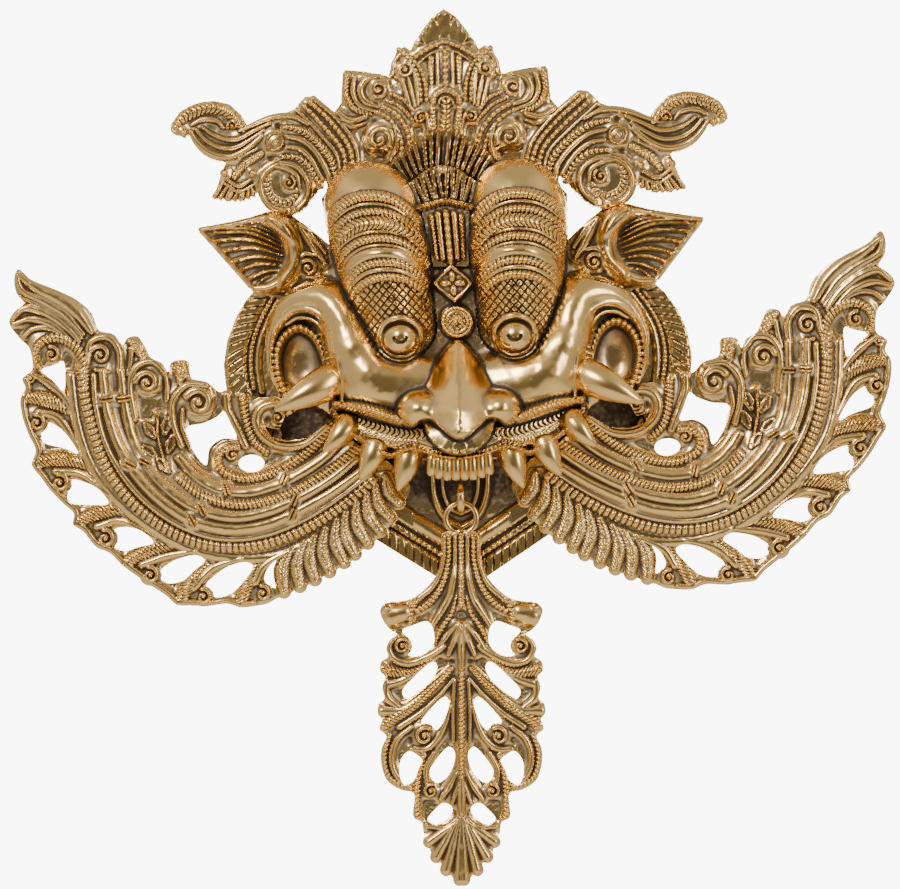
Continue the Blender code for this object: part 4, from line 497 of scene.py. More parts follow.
LIP = [
    (-61.4, -53.6), (-56.8, -61.6), (-49.2, -68.2), (-41.4, -73.2), (-34.6, -76.6), (-29, -75),
    (-22.5, -73.6), (-16.5, -75.6), (-10, -77.6), (0, -79)]
PEARLS = [
    (-58.6, -54), (-61.4, -47), (-64, -37), (-66.8, -25), (-71.6, -16), (-79, -12.2), (-86.4, -16.4),
    (-90.4, -26), (-89.6, -36), (-86.5, -45)]
NOSE_EDGE = [
    (0, -20.5), (-4, -22.6), (-8, -27.2), (-10.75, -31), (-13.5, -35.5), (-15.75, -40), (-18.4, -43.8),
    (-22.4, -44.6), (-26.8, -46.8), (-30, -50.6), (-31.4, -55), (-30.6, -59.4), (-27, -63), (-22.6, -63.6),
    (-18.6, -61.2), (-14.6, -60.4), (-10.4, -63.6), (-5.6, -68), (-2.4, -70), (0, -70.4)]


def carve_face(r):
    """Cheeks, muzzle, cheek rings and brow rolls with their bands."""
    r.dome((0, -24), (84, 60), FACE_DEPTH - 6, ground=True, power=0.7)
    r.body([(-90, -45), (-94, -32), (-93.4, -17), (-88, -6)], [2.6, 3.4, 4, 4.6], 11, [5, 8, 9, 9], "swell",
        blend=2)
    r.body([(-90, -10), (-84, -3), (-74, 1.5), (-64, 0), (-57, -9), (-54, -22)], [5.4, 8.2, 11, 13, 13, 14],
        [12, 14, 17, 21, 24, 27], [7, 11, 13, 14, 14, 13], "swell", blend=5)
    r.body([(-50, -26), (-43, -38), (-34, -43), (-22, -45), (-10, -46)], [16, 20, 21.5, 19, 16],
        [27, 29, 31, 33, 34], [15, 16.5, 14.5, 11, 8], "swell", blend=6)
    r.h = np.where(r.Z < 10, blurred(r.h, round(2 / r.step)), r.h)
    r.body([(-88, -9), (-80, -3.4), (-70.6, -4.4), (-63, -12.5), (-60.2, -25), (-58, -38), (-57.4, -50)],
        2.3, [14, 18, 21, 23, 24, 24, 24], [6, 8, 10, 12, 14, 14, 13], blend=2)
    r.body([(-85, -10.4), (-79, -7.4), (-71.4, -8.8), (-66, -16), (-63.4, -27), (-61.2, -39), (-60, -50)],
        1.9, [12, 15, 18, 20, 20, 20, 20], [6, 8, 9, 11, 13, 13, 12], blend=1)
    q = np.minimum(1, ((np.abs(r.X) - 78.4) / 12.4) ** 2 + ((r.Z + 29.5) / 17.4) ** 2)
    r.h = np.where(q < 1, 7 + 9 * q**1.5, r.h)
    r.ground = np.where(q < 1, 0, r.ground)
    r.body(PEARLS, 2.4, [22, 21, 20, 18, 16, 14, 12, 11, 10, 9], 6.5)
    brow = [(-x, z) for x, z in zip(BROW_MIDDLE, BROW_HEIGHTS)]
    rolls = r.body(brow[::-1], BROW_HALF[::-1], 22, [27, 30, 32, 32.5, 31.5, 30])
    for height, width, rise, mark in BROW_BANDS:
        brow_band(r, rolls, height, width, rise, mark)


def carve_eyes(r):
    """The bulging eyes with their lids."""
    r.body([(-28.2, -19.4), (-28.3, -19.4)], 9.8, 43, 13, blend=2)
    r.trim(arc((-28.2, -19.4), (10.8, 10), 0, 360), 1.6, 3.4)
    r.trim(arc((-28.2, -19.7), (8.3, 7.6), 0, 360), 0.7, -1)


def carve_nose(r):
    """The ridged nose with its two nostrils, ending below in a sharp edge."""
    for w, signed in r.outline(NOSE_EDGE, True):
        x, z = np.abs(r.X[w]), r.Z[w]
        ridge = np.interp(z, (-71, -66, -56, -42, -31, -20), (69, 70.4, 68, 59, 51, 44))
        side = np.interp(z, (-71, -62, -52, -40, -30, -20), (52, 48, 43, 40, 39, 40))
        half = np.interp(z, (-71, -56, -45, -31, -20), (24, 23, 19, 11, 5))
        u = np.minimum(x / half, 1.3)
        bridge = ridge - (ridge - side) * (0.42 * u + 0.58 * u**2.4)
        ball = 36 + 24.5 * np.sqrt(np.clip(1 - ((x - 20) / 12.4) ** 2 - ((z + 55) / 11.6) ** 2, 0, 1))
        top = np.maximum(bridge, ball) + np.maximum(7 - np.abs(bridge - ball), 0) ** 2 / 28
        edge = np.clip(signed / 1.8, 0, 1)
        top = 38 + (top - 38) * np.sqrt(1 - (1 - edge) ** 2)
        r.h[w] = np.where(signed > 0, np.maximum(r.h[w], top), r.h[w])


def carve_muzzle(r):
    """The upper jaw, the lips and the nose."""
    r.body([(-59.6, -54.4), (-50, -61.5), (-40, -66), (-28, -68.5), (-14, -70.5), (0, -71.5)],
        [5, 7, 8.4, 8.6, 8, 8], [14, 16, 18, 20, 22, 22], [11, 15, 18, 20, 21, 21], "flat")
    r.body([(-60.4, -51), (-50, -52.6), (-40, -55.6), (-29, -59.6)], [2.8, 3.8, 4, 3.6], [22, 26, 30, 32],
        [15, 20, 21, 20])
    r.trim([(-60.4, -51), (-50, -52.6), (-40, -55.6), (-29, -59.6)], [2.6, 3.6, 3.8, 3.4], 0.6, "bows")
    r.body(LIP, 2.1, [12, 14, 17, 19, 20, 21, 22, 22, 23, 23], [14, 16, 18, 20, 21, 21, 21, 21, 21, 21])
    r.body([(-15.4, -60), (-11, -67.6), (-5, -72.6), (0, -73.6)], [3.4, 5, 5.2, 5], 26, [22, 25, 27, 27],
        "flat", blend=2)
    carve_nose(r)


def lower_under_wings(r):
    """Keeps what lies behind the wings clear of them."""
    outside = np.ones(r.X.shape, bool)
    for w, signed in r.outline(FACE_EDGE, False):
        outside[w] &= signed < 0
    covered = outside & (r.Z < -34) & (np.abs(r.X) > 24)
    r.h = np.where(covered, np.minimum(r.h, SHIELD_THICKNESS + 1.8), r.h)


def net(r, where, pitch, depth, centre=0):
    """Crossed slanting grooves over the places given, on both sides of the middle."""
    x = np.abs(r.X) + centre
    cuts = [np.clip(1 - np.abs(((x + way * r.Z * 0.9) / pitch) % 1 - 0.5) * 5.5, 0, 1) for way in (1, -1)]
    r.h -= depth * where * np.maximum(*cuts)


def carve_fine_brows(r):
    """The netted ends of the brow rolls and the boss between them."""
    x = np.abs(r.X)
    middle, half = (np.interp(r.Z, BROW_HEIGHTS, sizes) for sizes in (BROW_MIDDLE, BROW_HALF))
    below = r.Z < 8.4 - 13.5 * np.abs((x - middle) / half) ** 2.4
    roll = np.hypot((x - middle) / half, np.minimum(r.Z + 12.5, 0) / 18) < 1
    clear = np.hypot((x - 28.2) / 11.8, (r.Z + 19.4) / 11.2) > 1
    net(r, below & roll & clear, 3.9, 1.6, 0.4)
    disc = np.hypot(r.X, r.Z + 11.6) < 4.6
    net(r, disc, 2.3, 0.9)


def carve_fine_lips(r):
    """The pupils and the rows of marks above the teeth."""
    r.trim(arc((-28.1, -18), (3.3, 3.5), 205, 335), 0.9, -1.8)
    r.trim([(-57.6, -55.6), (-48, -59.6), (-38, -63.4), (-26, -66.4), (-17, -67)], [1.6, 2.2, 2.4, 2.4, 2],
        0.6, "bows")
    r.trim([(-58, -58.6), (-51, -63.4), (-43, -67.4), (-33, -70.4), (-22, -70.6)], [1.4, 2, 2.2, 2.2, 1.8],
        0.5, "scales")
    r.trim(LIP, 1.7, 0.2, "cord")
    r.trim([(x, z + 2.9) for x, z in LIP], 0.7, -0.9)
    r.trim(PEARLS, 2.4, 0.2, "pearls")


# The wings

WING_OUTLINE = [
    (-219, 20), (-213, 15), (-200.5, 9.5), (-190.5, 4.4), (-183, -2.5), (-179.3, -11.3), (-172, -13.5),
    (-167.5, -19), (-165, -15.5), (-160, -14.8), (-157, -19), (-153.5, -25.5), (-148, -28.5), (-145, -33),
    (-143.5, -28.5), (-138.5, -27), (-135, -28), (-133.5, -36), (-125.5, -38.5), (-119.5, -43.5),
    (-116, -42.5), (-107, -44.5), (-98, -46.8), (-91, -46.5), (-84, -50), (-79, -56), (-64, -58),
    (-58, -64), (-34, -82), (-25, -93.5), (-28, -100), (-33.5, -106.5), (-35.5, -112), (-42.5, -119.3),
    (-50, -124.3), (-57, -131), (-62, -133.2), (-67, -136), (-72, -138), (-77, -141), (-83, -143),
    (-88, -146), (-93, -147.5), (-98, -150), (-104, -151), (-111, -151.5), (-118, -149.5), (-128, -150.5),
    (-136, -150), (-143, -149.5), (-148, -145), (-156, -139.5), (-163, -134.5), (-170, -129), (-176, -123),
    (-183, -119.5), (-189, -112), (-194, -108), (-193.5, -103), (-199, -97.5), (-205, -91), (-210, -84),
    (-214, -78), (-212, -71), (-215.5, -62.5), (-218.5, -53), (-219, -45), (-216.5, -39.5), (-218, -35),
    (-213, -30.5), (-214, -20), (-219, -14.5), (-224, -6.5), (-221.5, -1.5), (-216.5, 2.8), (-220, 8),
    (-221, 15)]
WING_HOLES = [
    [(-208.5, -30.5), (-203, -28.5), (-197.5, -26.5), (-196.5, -33), (-197.5, -41.5), (-203, -36)],
    [(-206, -57), (-200.5, -59.3), (-195, -65), (-190.8, -72.8), (-198, -70), (-208.5, -66.5), (-209, -62)],
    [(-195, -86), (-187, -87.5), (-180, -91.5), (-176, -98), (-186, -98.5), (-196, -97), (-196.5, -92)],
    [(-175, -112), (-168, -110), (-160, -112), (-154, -118), (-161, -120), (-170, -122), (-175, -118.5)],
    [(-152, -134), (-147, -129), (-140, -126), (-132, -125), (-128.5, -127.5), (-134, -132.5),
     (-140, -137.5), (-148, -138.5)],
    [(-128.5, -140.5), (-124, -135.5), (-116, -130.5), (-107, -129), (-104.5, -131), (-109, -138),
     (-116, -144.5), (-124, -146)],
    [(-99, -138), (-97, -132), (-91, -127), (-86, -125.8), (-84, -127), (-87, -134), (-91, -141),
     (-95, -142)],
    [(-136.5, -61), (-128, -59), (-120.5, -55.5), (-117.8, -53), (-114, -60), (-111.5, -66.5), (-119, -67),
     (-125, -71.5), (-127, -80), (-132, -75), (-135, -68)]]
# Bar from the rim inwards, middle and size of the curl, stem
FRONDS = [
    ((-217, -44), (-206, -45.5), (-194, -52), (-211, -57), 4.7, (-210, -51.8), (-201, -54.5), (-190.5, -70)),
    ((-213, -77), (-200, -75.5), (-185, -79), (-200.3, -87.3), 5.2, (-202, -81.5), (-190, -83), (-176, -94)),
    ((-192.5, -107.5), (-183, -103), (-167, -101.5), (-178, -115.6), 5.2, (-182, -109.5), (-171, -107.2),
     (-153, -116)),
    ((-169, -128.5), (-160, -123.5), (-145, -120), (-156, -134.3), 4.8, (-160, -129), (-150, -125.8),
     (-133, -123)),
    ((-142, -148), (-136, -139), (-124, -129), (-129.6, -145.6), 4.4, (-134, -141), (-126, -132.5),
     (-110, -127)),
    ((-111, -149.5), (-108, -140), (-102, -130), (-100, -144.6), 4.4, (-103.5, -139), (-99, -131),
     (-87, -124))]
# Place and turn in degrees
WING_LEAVES = ((-146.6, -60, 80), (-154.6, -62, 125), (-144.6, -69, 72), (-155, -72.4, 140),
               (-148, -79.6, 130))
TUBE_KNOTS = ((-175.6, -46, 97), (-167.4, -46, 97), (-164.4, -79, 62), (-157, -77.6, 60), (-134, -107.4, 30),
              (-129, -102.2, 27), (-84, -105.4, -24), (-83, -98.4, -25), (-117, -92.4, 18), (-88, -88, -24))


def carve_wing(r):
    """The left wing: tubes, beaded bands, scrolls, fronds and the fan at its root."""
    r.plate(WING_OUTLINE, WING_THICKNESS)
    for hole in WING_HOLES:
        r.hole(hole)
    swell = [
        (-184, -34), (-181, -58), (-171, -82), (-150, -100), (-124, -108), (-100, -105), (-76, -95),
        (-52, -82)]
    r.rib(swell, [12, 16, 22, 26, 25, 22, 18, 14], [2, 4, 6, 6.5, 6.5, 5, 3, 1.5], shape="bell",
        ground=True)
    r.rib([(-219, 17), (-209, 10), (-198.5, 4.4), (-190, -2.4), (-183, -12)], [1.4, 3.2, 3.8, 3.6, 2], 3.8)
    r.rib([(-219.4, 16), (-216.6, 9), (-207, 4), (-196.6, -2.4), (-187, -13)], [1.2, 2.2, 2.8, 2.6, 1.6],
        3.4)
    r.rib([(-218, 6), (-207, 0.4), (-196.4, -6.6), (-188, -15)], [1, 2, 2.2, 1.4], 2.8)
    r.rib([(-222, -5), (-216, 0.4), (-206, -2), (-195, -10), (-189, -17)], [1.4, 2.4, 2.6, 2.2, 1.4], 3.4)
    r.rib([(-222, -7.4), (-213, -5), (-203, -8), (-193, -16)], [1.2, 2.2, 2.4, 1.4], 3)
    r.rib([(-217, -14), (-212, -10), (-204, -10), (-196, -14.6)], [1.2, 1.6, 1.6, 1.2], 2.6)
    r.rib([(-186.5, -40), (-187, -26), (-192.5, -18), (-201.6, -14.6), (-209.4, -18), (-211.6, -25),
        (-208, -31)], [2.2, 2.8, 3, 3, 2.8, 2.4, 1.8], 3.8, "cord")
    r.volute((-203, -23), 5.2, 100, 3.8, -1)
    r.rib([(-194, -34), (-191.5, -57), (-184.5, -79), (-171.5, -97), (-153, -112.6), (-134, -123),
        (-113, -127.4), (-93, -126), (-75, -119)], 2.9, 3.2)
    r.rib([(-188, -30), (-187, -44), (-184, -58), (-177.6, -78), (-167, -94.6), (-151, -109),
        (-132.6, -118.6), (-113.4, -121.8), (-95, -119.6), (-76, -112), (-58, -101), (-44, -89.6)], 3.3, 4,
        "discs")
    r.rib([(-182, -34), (-181, -50), (-177, -67), (-169.6, -82), (-157.6, -97), (-143.6, -108),
        (-128, -115.2), (-113.4, -117.4), (-97, -115.4), (-78, -108), (-60, -97), (-45, -86)], 1.9, 2.8)
    r.rib([(-177.4, -32), (-175.4, -50), (-170, -68), (-161.6, -83), (-149.6, -96.6), (-133.6, -107.6),
        (-114, -112.4), (-97, -110.4), (-80, -103.6), (-62, -93.6), (-47, -82.6)],
        [2.6, 3.2, 3.6, 3.6, 3.6, 3.6, 3.4, 2.8], 4.4)
    r.rib([(-168.6, -32), (-167, -48), (-162.8, -66), (-154.4, -81.4), (-141.6, -94.6), (-128.6, -102.4),
        (-113, -106), (-98, -104), (-82, -98), (-66, -89), (-52, -78.6)],
        [2.4, 3.2, 3.7, 3.8, 3.8, 3.6, 3.2, 2.6], 4.3)
    r.rib([(-140, -86), (-132, -93), (-121, -98), (-106, -99.8), (-91, -97), (-76, -90.4), (-61, -81),
        (-50, -72.6)], 3.2, 4.4, "cord")
    r.rib([(-140.4, -76), (-131.6, -85.4), (-120, -91.6), (-107, -93.4), (-94, -90.6), (-80, -84.6),
        (-68, -77), (-59, -68.6)], [3, 3.8, 3.9, 3.8, 3.2], 4.4)
    r.rib([(-111, -71.6), (-116, -71.6), (-120.4, -76), (-119, -82.6), (-110, -86.8), (-97, -85.6),
        (-84, -80), (-73, -72), (-63, -61.5)], [2, 2.8, 3.2, 3.2, 2.8], 4.2, "cord", grow=True)
    r.volute((-113.5, -75), 4.6, 60, 3.4, 1)
    r.hole(arc((-104.3, -79.6), (6.5, 4.3), 0, 330))
    r.rib([(-86, -52), (-92, -50), (-99, -52), (-101.5, -58), (-98.5, -65.5), (-90, -71), (-78, -70.5),
        (-66, -62)], [2.4, 2.8, 2.8, 2.6, 2.2], 4.4, grow=True)
    r.volute((-90.5, -57), 4.8, 100, 4.2, -1)
    r.rib([(-108, -46), (-106.5, -57), (-103, -68), (-97, -74)], 2.4, 3.4, "cord")
    r.rib([(-116, -45), (-115.5, -52), (-111.5, -61), (-107, -71)], 2.2, 2.8)
    r.hole([(-87, -57), (-90, -63), (-97, -61.5), (-94, -66.5), (-86, -68.5), (-76, -67.5), (-67, -61),
        (-62, -57), (-66, -51), (-80, -53)], curved=False)
    r.volute((-178.6, -23.8), 6.6, 150, 4.2, -1)
    r.rib([(-185, -27), (-183, -17), (-175, -15), (-169.5, -21), (-169, -34)], 2.2, 4)
    r.rib([(-181, -31), (-174.6, -32.4)], 1.4, 3.4)
    r.volute((-155.5, -38), 7.6, 170, 4.6, -1)
    r.rib([(-162, -56), (-164, -38), (-160, -29.5), (-152, -27.8), (-146.6, -33)], 2.2, 3.8)
    r.volute((-130, -48.6), 9, 150, 4.6, -1)
    r.rib([(-139, -70), (-143, -58), (-142.5, -47), (-136, -40), (-126, -40)], 2.2, 3.8)
    r.rib([(-134.4, -72), (-138.4, -60), (-138, -52)], [1.2, 1.8, 1.2], 3.2)
    r.rib([(-164, -17), (-160, -20), (-157.5, -26)], [1.6, 3.6, 2], 3, "veins")
    r.rib([(-163, -21), (-163.6, -27), (-165, -34)], 1.6, 2.6)
    r.rib([(-139, -29), (-138.4, -33), (-139, -38)], [3.4, 4, 2], 3, "veins")
    r.rib([(-146.4, -33.6), (-145.6, -40), (-146, -47)], 1.5, 2.4)
    for x, z, turn in WING_LEAVES:
        d = np.array([cos(radians(turn)), sin(radians(turn))]) * 3.8
        r.rib([(x, z) - d, (x, z) + d * 0.1, (x, z) + d], [1.6, 3.4, 1.6], 3.2, shape="flat", foot=1.2)
        r.trim([(x, z) - d * 0.6, (x, z) + d * 0.7], 0.8, -1.2)
    r.rib([(-150.6, -54), (-150.4, -66), (-146, -83)], 1.1, 4.6)
    r.rib([(-162.4, -82), (-154, -90), (-145, -95)], [1, 2.4, 1], 2.6)
    r.volute((-214, -35), 3, 60, 2.8, -1)
    r.rib([(-213, -32.5), (-205, -37.5), (-197, -45), (-191.5, -57)], [1.6, 2.2, 2.2, 1.4], 3)
    rim = np.array(WING_OUTLINE[WING_OUTLINE.index((-104, -151)):WING_OUTLINE.index((-218, -35)) + 1])
    r.rib(rim * 0.985 + (-1.5, -0.6), 1.7, 3.2)
    for bar_out, bar_mid, bar_in, centre, size, stem_out, stem_mid, stem_in in FRONDS:
        r.rib([bar_out, bar_mid, bar_in], [3.4, 4.4, 2.6], [3.2, 4, 2.4], "hatch")
        r.rib([stem_out, stem_mid, stem_in], [2.4, 2.6, 1.6], 3.6)
        r.volute(centre, size * 1.15, 100, 3.8, -1)
    for x, z, turn in TUBE_KNOTS:
        d = np.array([-sin(radians(turn)), cos(radians(turn))]) * 2.4
        for shift in (-0.95, 0.95):
            c = np.array([x + shift * cos(radians(turn)), z + shift * sin(radians(turn))])
            r.rib([c - d, c + d], 1.1, 5.8)
    r.fan([(-88, -124), (-76, -118), (-61, -108), (-46, -95), (-34, -85)],
        [(-92, -145), (-80, -141), (-70, -136.5), (-59, -130), (-48, -121.5), (-37, -110.5), (-29, -97)],
        10, [2.6, 4.6, 3.6], 4, 0.12, mark="leaf", shape="swell")


# The pendant

DROP_OUTLINE = [
    (0, -115), (-9.5, -117), (-9.8, -126), (-11.5, -135), (-15, -141), (-22, -147.5), (-26, -149.5),
    (-31, -150.5), (-38, -151.5), (-40.5, -154.5), (-39, -160), (-35, -165), (-32, -166.8), (-36, -170),
    (-37.5, -174), (-36.5, -178), (-40, -180.5), (-40.5, -185), (-38, -188), (-39.5, -193), (-38.5, -199),
    (-41.5, -202), (-41.5, -207), (-39.5, -209), (-41, -214), (-37.5, -217.5), (-40, -224), (-40, -232),
    (-37, -240), (-30, -244.5), (-24, -246), (-24, -258), (-20, -260.5), (-19, -266), (-16.5, -270),
    (-15.5, -275.5), (-12.5, -279), (-7, -284.5), (-4, -289), (0, -291.5)]
DROP_HOLES = [
    [(-29.5, -165), (-23, -162), (-17, -160.5), (-14.5, -163), (-14, -172), (-19, -177), (-24.5, -178),
     (-28, -176), (-25.5, -172), (-27.5, -168)],
    [(-14, -180.5), (-12, -183), (-15, -190), (-24, -197.5), (-28, -199), (-29.5, -195.5), (-24, -188.5)],
    [(-8, -198), (-6.2, -200.5), (-8, -208), (-12, -214.5), (-15, -215), (-20, -211), (-17, -206)],
    [(-26, -225), (-23, -226.5), (-19.5, -229.5), (-21.5, -234), (-24, -240), (-28.5, -242), (-31, -236),
     (-30, -229)],
    [(-6, -223), (-3.5, -225.5), (-4, -232), (-8, -239), (-13, -241), (-16, -236), (-13, -230)],
    [(-9, -251), (-5, -252.5), (-5, -256.5), (-9, -260.5), (-13, -262), (-17, -259.5), (-13, -254)]]


def carve_pendant(r):
    """The pierced drop."""
    r.plate(DROP_OUTLINE, PENDANT_THICKNESS)
    for hole in DROP_HOLES:
        r.hole(hole)
    r.rib([(0, -140), (0, -165)], [9, 7], 2.4, shape="bell", ground=True)
    r.rib([(-8.4, -118), (-9, -131), (-13.4, -142), (-20, -148), (-25, -152)], [1.1, 1.2, 1.5, 2, 2], 3)
    r.rib([(-6, -118), (-6.4, -131), (-10, -143), (-16, -151), (-22, -155)], [1.4, 1.6, 2, 2.4, 2.2], 3.6,
        "cord")
    r.rib([(-3, -118), (-3.4, -135), (-6.4, -149), (-12.4, -159), (-15, -163)], [1.3, 1.6, 2.2, 2.4, 1.8],
        3.4)
    r.rib([(0, -117), (0, -152)], [1.7, 1.9, 2], 4.2, "veins")
    r.rib([(-2.6, -148), (-5, -156), (-10.6, -165), (-13, -170)], [1, 1.8, 2, 1.4], 3.6, "cord")
    r.rib([(0, -162), (-3.6, -170), (-6.6, -177)], [1.4, 2.4, 1.6], 4)
    r.rib([(-3, -162), (-7.6, -168), (-11.6, -174)], [1.2, 2.2, 1.4], 3.4)
    r.rib([(0, -164), (0, -175), (0, -184)], [1.6, 2.6, 2], 5)
    r.rib([(-22.6, -149.6), (-25, -155), (-25.6, -161.6)], 2.2, 4.2, "cord")
    r.rib([(-29, -156), (-34.5, -157.5)], [5, 5.8], 4.6)
    r.dome((-37.4, -153.8), 2.4, 6.4)
    r.volute((-29.5, -172.8), 5, 60, 3.8, 1)
    r.rib([(-33, -168), (-36, -173), (-33.5, -179), (-26.3, -181.3), (-15, -177), (-9, -173)],
        [1.6, 2, 2.4, 2.4, 2], 3.6)
    r.rib([(-15, -181), (-26, -186), (-38.5, -184.5)], [1.6, 2.8, 3.4], 3.4, "hatch")
    r.rib([(-20, -185), (-30, -190), (-37, -192)], [1.4, 2.2, 2.6], 2.8)
    r.rib([(-37.5, -190), (-37, -198), (-31, -203.5)], [2, 2.6, 2], 3)
    r.rib([(-39.4, -205), (-30, -204.6), (-20, -197)], [3, 2.4, 1.2], 3.4)
    r.rib([(-5, -184), (-12, -191), (-24, -202), (-38.5, -212)], [1.8, 2.6, 3.2, 3.2], 3.8, "hatch")
    r.rib([(-4, -189), (-10, -196), (-20, -205.6), (-31, -213)], [1.2, 1.4, 1.8, 2], 2.6)
    r.rib([(-25, -213), (-32, -219), (-34.8, -228), (-32.5, -237), (-26, -243)], [1.6, 1.9, 1.9, 1.6], 3)
    r.rib([(-36, -217), (-38.6, -227), (-36, -238), (-25, -244.8)], 1.7, 3, "cord")
    r.volute((-18.5, -217.5), 6, 60, 4, 1)
    r.rib([(-6, -203), (-8, -211), (-12, -219), (-18, -224), (-25, -224)], [1.4, 1.8, 2, 1.8], 3.2)
    r.rib([(-19, -227), (-21, -233), (-22.5, -246), (-22, -259)], [1.8, 2.2, 2.4, 2.2], 3.4, "cord")
    r.rib([(-14, -226), (-18, -234), (-17.5, -241)], 1.5, 2.8)
    r.rib([(0, -186), (0, -240)], 2.1, 4.6, "cord")
    r.rib([(-3.4, -190), (-4.2, -206), (-4, -220)], 1.3, 2.8)
    r.rib([(0, -238), (0, -250), (0, -256)], [1.6, 2.8, 2], 5)
    r.volute((-15.4, -245), 4.6, 80, 3.6, 1)
    r.rib([(-2.5, -236), (-6, -243), (-10.5, -249)], [1.2, 2, 1.4], 3)
    r.rib([(-1, -240), (-3.6, -248), (-5.6, -253)], [1, 1.8, 1.2], 3.8)
    r.rib([(-3, -259), (-8, -263), (-17, -262.5)], [1.4, 1.6, 1.6], 2.8)
    r.fan([(0, -257), (-1.8, -259), (-4.2, -262)], [(1.4, -290.5), (-5, -287), (-12, -279), (-18, -266.5)],
        4, [1.2, 3, 3.2], 3.2, shape="swell")


# Meshes

def cast(r, back, hollow):
    """Points and triangles of the closed solid between a relief and its back."""
    cover = r.cover.copy()
    cover[[0, -1], :] = cover[:, [0, -1]] = -1
    inside = cover > 0
    count = np.cumsum(inside.ravel()).reshape(inside.shape) - 1
    node = np.where(inside, count, -1)
    total = int(inside.sum())
    points = [np.column_stack([r.X[inside], r.Z[inside], r.h[inside]])]
    cuts = {}
    for name, a, b in (("x", np.s_[:, :-1], np.s_[:, 1:]), ("z", np.s_[:-1, :], np.s_[1:, :])):
        crossing = inside[a] != inside[b]
        k = np.full(crossing.shape, -1)
        k[crossing] = total + np.arange(crossing.sum())
        total += int(crossing.sum())
        ca, cb = cover[a][crossing], cover[b][crossing]
        t = np.clip(ca / (ca - cb), 0.12, 0.88)
        x = r.X[a][crossing] + t * (r.X[b][crossing] - r.X[a][crossing])
        z = r.Z[a][crossing] + t * (r.Z[b][crossing] - r.Z[a][crossing])
        h = np.where(inside[a][crossing], r.h[a][crossing], r.h[b][crossing])
        points.append(np.column_stack([x, z, h]))
        cuts[name] = k
    points = np.vstack(points)
    corners = [node[:-1, :-1], node[:-1, 1:], node[1:, 1:], node[1:, :-1]]
    edges = [cuts["x"][:-1, :], cuts["z"][:, 1:], cuts["x"][1:, :], cuts["z"][:, :-1]]
    code = sum((c >= 0).astype(int) << k for k, c in enumerate(corners))
    top, rim = [], []
    for case in range(1, 16):
        here = code == case
        ring, kinds = [], []
        for k in range(4):
            now, after = case >> k & 1, case >> (k + 1) % 4 & 1
            if now:
                ring.append(corners[k][here])
                kinds.append("node")
            if now != after:
                ring.append(edges[k][here])
                kinds.append("out" if now else "in")
        for m in range(1, len(ring) - 1):
            top.append(np.column_stack([ring[0], ring[m], ring[m + 1]]))
        for m, kind in enumerate(kinds):
            if kind == "out":
                rim.append(np.column_stack([ring[m], ring[(m + 1) % len(ring)]]))
    top, rim = np.vstack(top), np.vstack(rim)
    x, z, h = points.T
    base = back + (hollow(x, z, h) if hollow else 0 * x)
    front = np.column_stack([x, -(h + back), z])
    behind = np.column_stack([x, -base, z])
    walls = np.vstack([np.column_stack([rim[:, 1], rim[:, 0], rim[:, 0] + total]),
                       np.column_stack([rim[:, 1], rim[:, 0] + total, rim[:, 1] + total])])
    return np.vstack([front, behind]), np.vstack([top, top[:, ::-1] + total, walls])


def horn(points, radii, sides, flat=1.0):
    """A tapering round rod along a path in space, closed at both ends."""
    path = [Vector(p) for p in points]
    verts, faces = [], []
    for k, p in enumerate(path):
        d = (path[min(k + 1, len(path) - 1)] - path[max(k - 1, 0)]).normalized()
        across = d.cross(Vector((0, 1, 0)))
        across = across.normalized() if across.length > 0.2 else d.cross(Vector((1, 0, 0))).normalized()
        over = across.cross(d).normalized()
        for s in range(sides):
            a = 2 * pi * s / sides
            verts.append(p + radii[k] * (across * cos(a) + over * sin(a) * flat))
    for k in range(len(path) - 1):
        for s in range(sides):
            n = (s + 1) % sides
            faces.append((k * sides + s, (k + 1) * sides + s, (k + 1) * sides + n, k * sides + n))
    faces.append(tuple(range(sides)))
    faces.append(tuple((len(path) - 1) * sides + s for s in range(sides))[::-1])
    return verts, faces


def torus(centre, radius, rod, around, sides):
    """A ring round the Y axis."""
    verts, faces = [], []
    for k in range(around):
        a = 2 * pi * k / around
        for s in range(sides):
            b = 2 * pi * s / sides
            reach = radius + rod * cos(b)
            verts.append((centre[0] + reach * cos(a), centre[1] + rod * sin(b), centre[2] + reach * sin(a)))
    for k in range(around):
        for s in range(sides):
            n, m = (k + 1) % around, (s + 1) % sides
            faces.append((k * sides + s, k * sides + m, n * sides + m, n * sides + s))
    return verts, faces


def turned(pivot, degrees, mirror=False):
    """Turns places about a pivot, after mirroring them where that is wanted."""
    def place(places, faces):
        p = np.array(places, float)
        if mirror:
            p[:, 0] *= -1
            faces = faces[:, ::-1]
        a = radians(degrees)
        x, z = p[:, 0] - pivot[0], p[:, 2] - pivot[1]
        p[:, 0], p[:, 2] = pivot[0] + x * cos(a) - z * sin(a), pivot[1] + x * sin(a) + z * cos(a)
        return p, faces
    return place


def hollow_back(x, z, h):
    """Depth of the smooth hollow behind the face."""
    q = (x / HOLLOW_HALF_WIDTH) ** 2 + ((z + 10) / HOLLOW_HALF_HEIGHT) ** 2
    bowl = HOLLOW_DEPTH * np.clip(1 - q, 0, 1)
    return np.maximum(np.minimum(bowl, h - WALL), 0)


def lip_hole(r, right):
    """Cuts a wing back from the face, which is turned onto the left wing's drawing for the right one."""
    edge = np.array(FACE_EDGE, float)
    if right:
        a = radians(-WING_TURN)
        x, z = (edge - WING_PIVOT).T
        across, up = x * cos(a) - z * sin(a), x * sin(a) + z * cos(a)
        edge = np.column_stack([-(WING_PIVOT[0] + across), WING_PIVOT[1] + up])
    r.hole(edge, LIP_CLEARANCE, curved=False)


